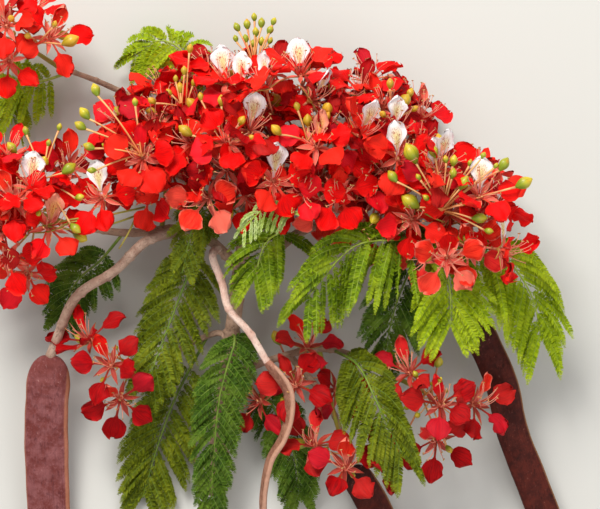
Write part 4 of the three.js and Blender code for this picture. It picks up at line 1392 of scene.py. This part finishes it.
class MakeLeaves(bpy.types.Operator):
    """Makes the feathery leaves: ribs, rows of leaflets on them and their small ribs"""

    bl_idname = "flame_branch.leaves"
    bl_label = "Leaves"

    def execute(self, context):
        leaf = opaque(settings().leaf_colour)
        greens = [
            leaf_finish("leaf_bright", leaf, "6c880c", "c8d830"),
            leaf_finish("leaf_fresh", "7a980e", "3f5c08", "b4c42a"),
            # The deep and olive greens are partly the leaves' own darker tones and partly painted shade, for
            # leaves under and behind the blooms
            leaf_finish("leaf_deep_and_painted_shade", "466812", "1e3808", "7a9430"),
            leaf_finish("leaf_olive_and_painted_shade", "6e7c0e", "3c4808", "9aa024"),
            leaf_finish("leaf_pale", "b4cc62", "84a434", "e4ecc0"),
        ]
        ribs = [
            stem_finish("leaf_rib_light", "86a022", "a0b83a", "b8c860", 0.0003),
            # The darker rib goes with the deep and olive leaves: partly its own tone, partly painted shade
            stem_finish("leaf_rib_dark_and_painted_shade", "5c7a1a", "6f8c26", "8a9a3c", 0.0003),
        ]
        halves = {"leaflets_right": Pile(), "leaflets_left": Pile()}
        held = {title: [] for title in halves}
        stems = Pile()
        for name, row in LEAVES.items():
            right = "right" in name or name in ("leaf_young_front", "leaf_centre")
            title = "leaflets_right" if right else "leaflets_left"
            self.add_leaf(name, row, halves[title], stems)
            held[title].append(name)
        for title, pile in halves.items():
            attach(pile.make(title, greens, lowest=0.6), "leaf", *held[title])
        attach(stems.make("leaf_ribs", ribs, lowest=0.6), "leaf")
        return {"FINISHED"}

    def add_leaf(self, name, row, leaflets, stems):
        """A leaf's rib with its rows, which are all on the outer half of a young leaf."""
        limb, at, pairs, longest, droop, finish, path = row
        rng = np.random.default_rng(sum(map(ord, name)))
        curve = Curve([limb_curves()[limb].at(at), *path])
        young = finish == "leaf_pale"
        droop = 1.5 if young else droop
        slot = LEAF_FINISHES.index(finish)
        stem = curve.at(np.linspace(0, 1, 40))[None]
        # Deep and olive leaves take the darker rib, which carries painted shade with them
        add_tubes(stems, stem, np.linspace(2.3, 0.9, 40), 8, int(slot in (2, 3)), rng.random())
        count = ROWS_OF_YOUNG if young else round(curve.length() / ROW_STEP)
        for k in range(count):
            for side in (-1, 1):
                grown = min(1, max(0, (k + rng.uniform(-0.2, 0.2)) / (count - 1)))
                share = 0.5 + 0.48 * grown if young else (grown * (pairs - 1) + 1.5) / (pairs + 1)
                tangent = curve.tangent(share)
                lateral = unit(np.cross(tangent, UP)) * side
                lean = ROWS_LEAN[0] + (ROWS_LEAN[1] - ROWS_LEAN[0]) * grown
                lean = math.radians(lean + rng.uniform(-6, 6))
                flat = tangent * math.cos(lean) + lateral * math.sin(lean)
                first = unit(flat - 0.2 * droop * TO_CROWN + rng.uniform(0, 0.3) * UP)
                last = unit(0.8 * flat - 1.1 * droop * TO_CROWN - (0.3 + rng.uniform(0, 0.25)) * UP)
                length = longest * (0.62 + 0.38 * math.sin(math.pi * (0.15 + 0.75 * grown)))
                length *= rng.uniform(0.94, 1.1)
                self.add_row(rng, curve.at(share), first, last, length, young, slot, leaflets, stems)

    def add_row(self, rng, root, first, last, length, young, slot, leaflets, stems):
        """One rib with a leaflet on either side at each step."""
        step = settings().leaflet_step / MILLIMETRE
        size = settings().leaflet_length / MILLIMETRE
        count = max(6, int(length / step))
        share = np.linspace(0.06, 1, count)[:, None]
        points = root + length * swung(first, last, share)
        tangent = unit(first * (1 - share) + last * share)
        ribs = np.concatenate([root[None], points[:: max(1, count // 9)], points[-1:]])
        shares = np.linspace(0, 1, 11)
        ribs = np.stack([np.interp(shares, np.linspace(0, 1, len(ribs)), ribs[:, i]) for i in range(3)], -1)
        # Row ribs of deep and olive leaves take the darker rib, with its painted shade
        add_tubes(stems, ribs[None], np.linspace(0.75, 0.4, 11), 3, int(slot in (2, 3)), rng.random())
        face = unit(UP + 0.4 * rng.normal(0, 1, 3))
        aside = unit(np.cross(tangent, face))
        normal = np.cross(aside, tangent)
        full = size * (0.62 + 0.38 * np.sin(np.pi * share[:, 0] ** 0.8))
        full *= 1 - 0.5 * smooth(0.85, 1, share[:, 0])
        full *= (0.72 if young else 1) * rng.uniform(0.94, 1.06)
        spread = math.radians(YOUNG_LEAFLETS_LEAN if young else LEAFLETS_LEAN)
        for side in (-1, 1):
            bias = rng.normal(0, 0.08, (count, 1))
            along = unit(tangent * np.cos(spread + bias) + side * aside * np.sin(spread + bias)
                         + normal * rng.normal(0.16, 0.16, (count, 1)))
            wide = unit(np.cross(normal + rng.normal(0, 0.24, (count, 3)), along))
            up = np.cross(along, wide)
            local = LEAFLET_OUTLINE[None] * full[:, None, None]
            frames = np.stack([along, wide, up], 1)
            shapes = points[:, None] + local @ frames
            # Leaflets near a row's end get a higher shade, which makes them paler: partly young leaflets' own
            # colour, partly painted highlight
            shade = np.clip(rng.normal(0.55, 0.3, count), 0, 1) + 0.6 * smooth(0.74, 1, share[:, 0])
            places = np.empty(shapes.shape)
            places[..., 0] = LEAFLET_OUTLINE[:, 0]
            places[..., 1] = LEAFLET_OUTLINE[:, 1] * 6
            places[..., 2] = shade[:, None]
            leaflets.stamp(shapes, [[(0, 3, 2, 1), (0, 5, 4, 3)]], places, slot)


FLOOR_REACH = 5
FLOOR_HEIGHT = -0.0006
SENSOR = 36
PICTURE_WIDTH = 600 * 1.4  # its pixels, and the millimetres that each shows


class MakeStage(bpy.types.Operator):
    """Makes the floor, the light and the camera"""

    bl_idname = "flame_branch.stage"
    bl_label = "Stage"

    def execute(self, context):
        scene = context.scene
        mesh = bpy.data.meshes.new("floor")
        corners = [(x * FLOOR_REACH, y * FLOOR_REACH, 0) for x, y in ((-1, -1), (1, -1), (1, 1), (-1, 1))]
        mesh.from_pydata(corners, [], [(0, 1, 2, 3)])
        floor = bpy.data.objects.new("floor", mesh)
        floor.location.z = FLOOR_HEIGHT
        scene.collection.objects.link(floor)
        shader = Shader("floor")
        mesh.materials.append(shader.finish(opaque(settings().floor_colour), 0.8))

        world = bpy.data.worlds.new("studio")
        world.use_nodes = True
        world.node_tree.nodes["Background"].inputs[0].default_value = (1, 0.98, 0.95, 1)
        world.node_tree.nodes["Background"].inputs[1].default_value = 0.5
        scene.world = world

        def area(name, size, power, place, aim, colour=(1, 1, 1)):
            light = bpy.data.lights.new(name, "AREA")
            light.size, light.energy, light.color = size, power, colour
            lamp = bpy.data.objects.new(name, light)
            lamp.location = place
            direction = np.array(aim, float) - np.array(place, float)
            lamp.rotation_euler = Vector(direction).to_track_quat("-Z", "Y").to_euler()
            scene.collection.objects.link(lamp)

        area("key", 2.0, settings().key_power, (-1.35, 3.3, 3.55), (0, 0.1, 0), (1, 0.97, 0.91))
        area("fill", 3.0, settings().key_power * 0.2, (2.6, -2.1, 3.2), (0, 0, 0), (1, 0.99, 0.97))

        lens = bpy.data.cameras.new("camera")
        lens.sensor_width = SENSOR
        lens.lens = SENSOR * (CAMERA_HEIGHT - SHARP_HEIGHT) / PICTURE_WIDTH
        lens.clip_end = 50
        camera = bpy.data.objects.new("camera", lens)
        camera.location = (SHIFT[0] * MILLIMETRE, SHIFT[1] * MILLIMETRE, CAMERA_HEIGHT * MILLIMETRE)
        scene.collection.objects.link(camera)
        scene.camera = camera
        scene.view_settings.view_transform = "Standard"
        return {"FINISHED"}


class BranchPanel(bpy.types.Panel):
    """Lists the branch's settings and pieces"""

    bl_idname = "VIEW3D_PT_flame_branch"
    bl_label = "Flame Tree Branch"
    bl_space_type = "VIEW_3D"
    bl_region_type = "UI"
    bl_category = "Flame Tree"

    def draw(self, context):
        for name in Settings.__annotations__:
            self.layout.prop(context.scene.flame_branch, name)
        for maker in MAKERS:
            self.layout.operator(maker.bl_idname)


MAKERS = (MakeBark, MakePods, MakeTwigs, MakePetals, MakeStamens, MakeBuds, MakeLeaves, MakeStage)
CLASSES = (Settings, *MAKERS, BranchPanel)


def register():
    for each in CLASSES:
        bpy.utils.register_class(each)
    bpy.types.Scene.flame_branch = PointerProperty(type=Settings)


def unregister():
    del bpy.types.Scene.flame_branch
    for each in reversed(CLASSES):
        bpy.utils.unregister_class(each)


def main():
    register()
    for maker in MAKERS:
        group, name = maker.bl_idname.split(".")
        getattr(getattr(bpy.ops, group), name)()


if __name__ == "__main__":
    main()
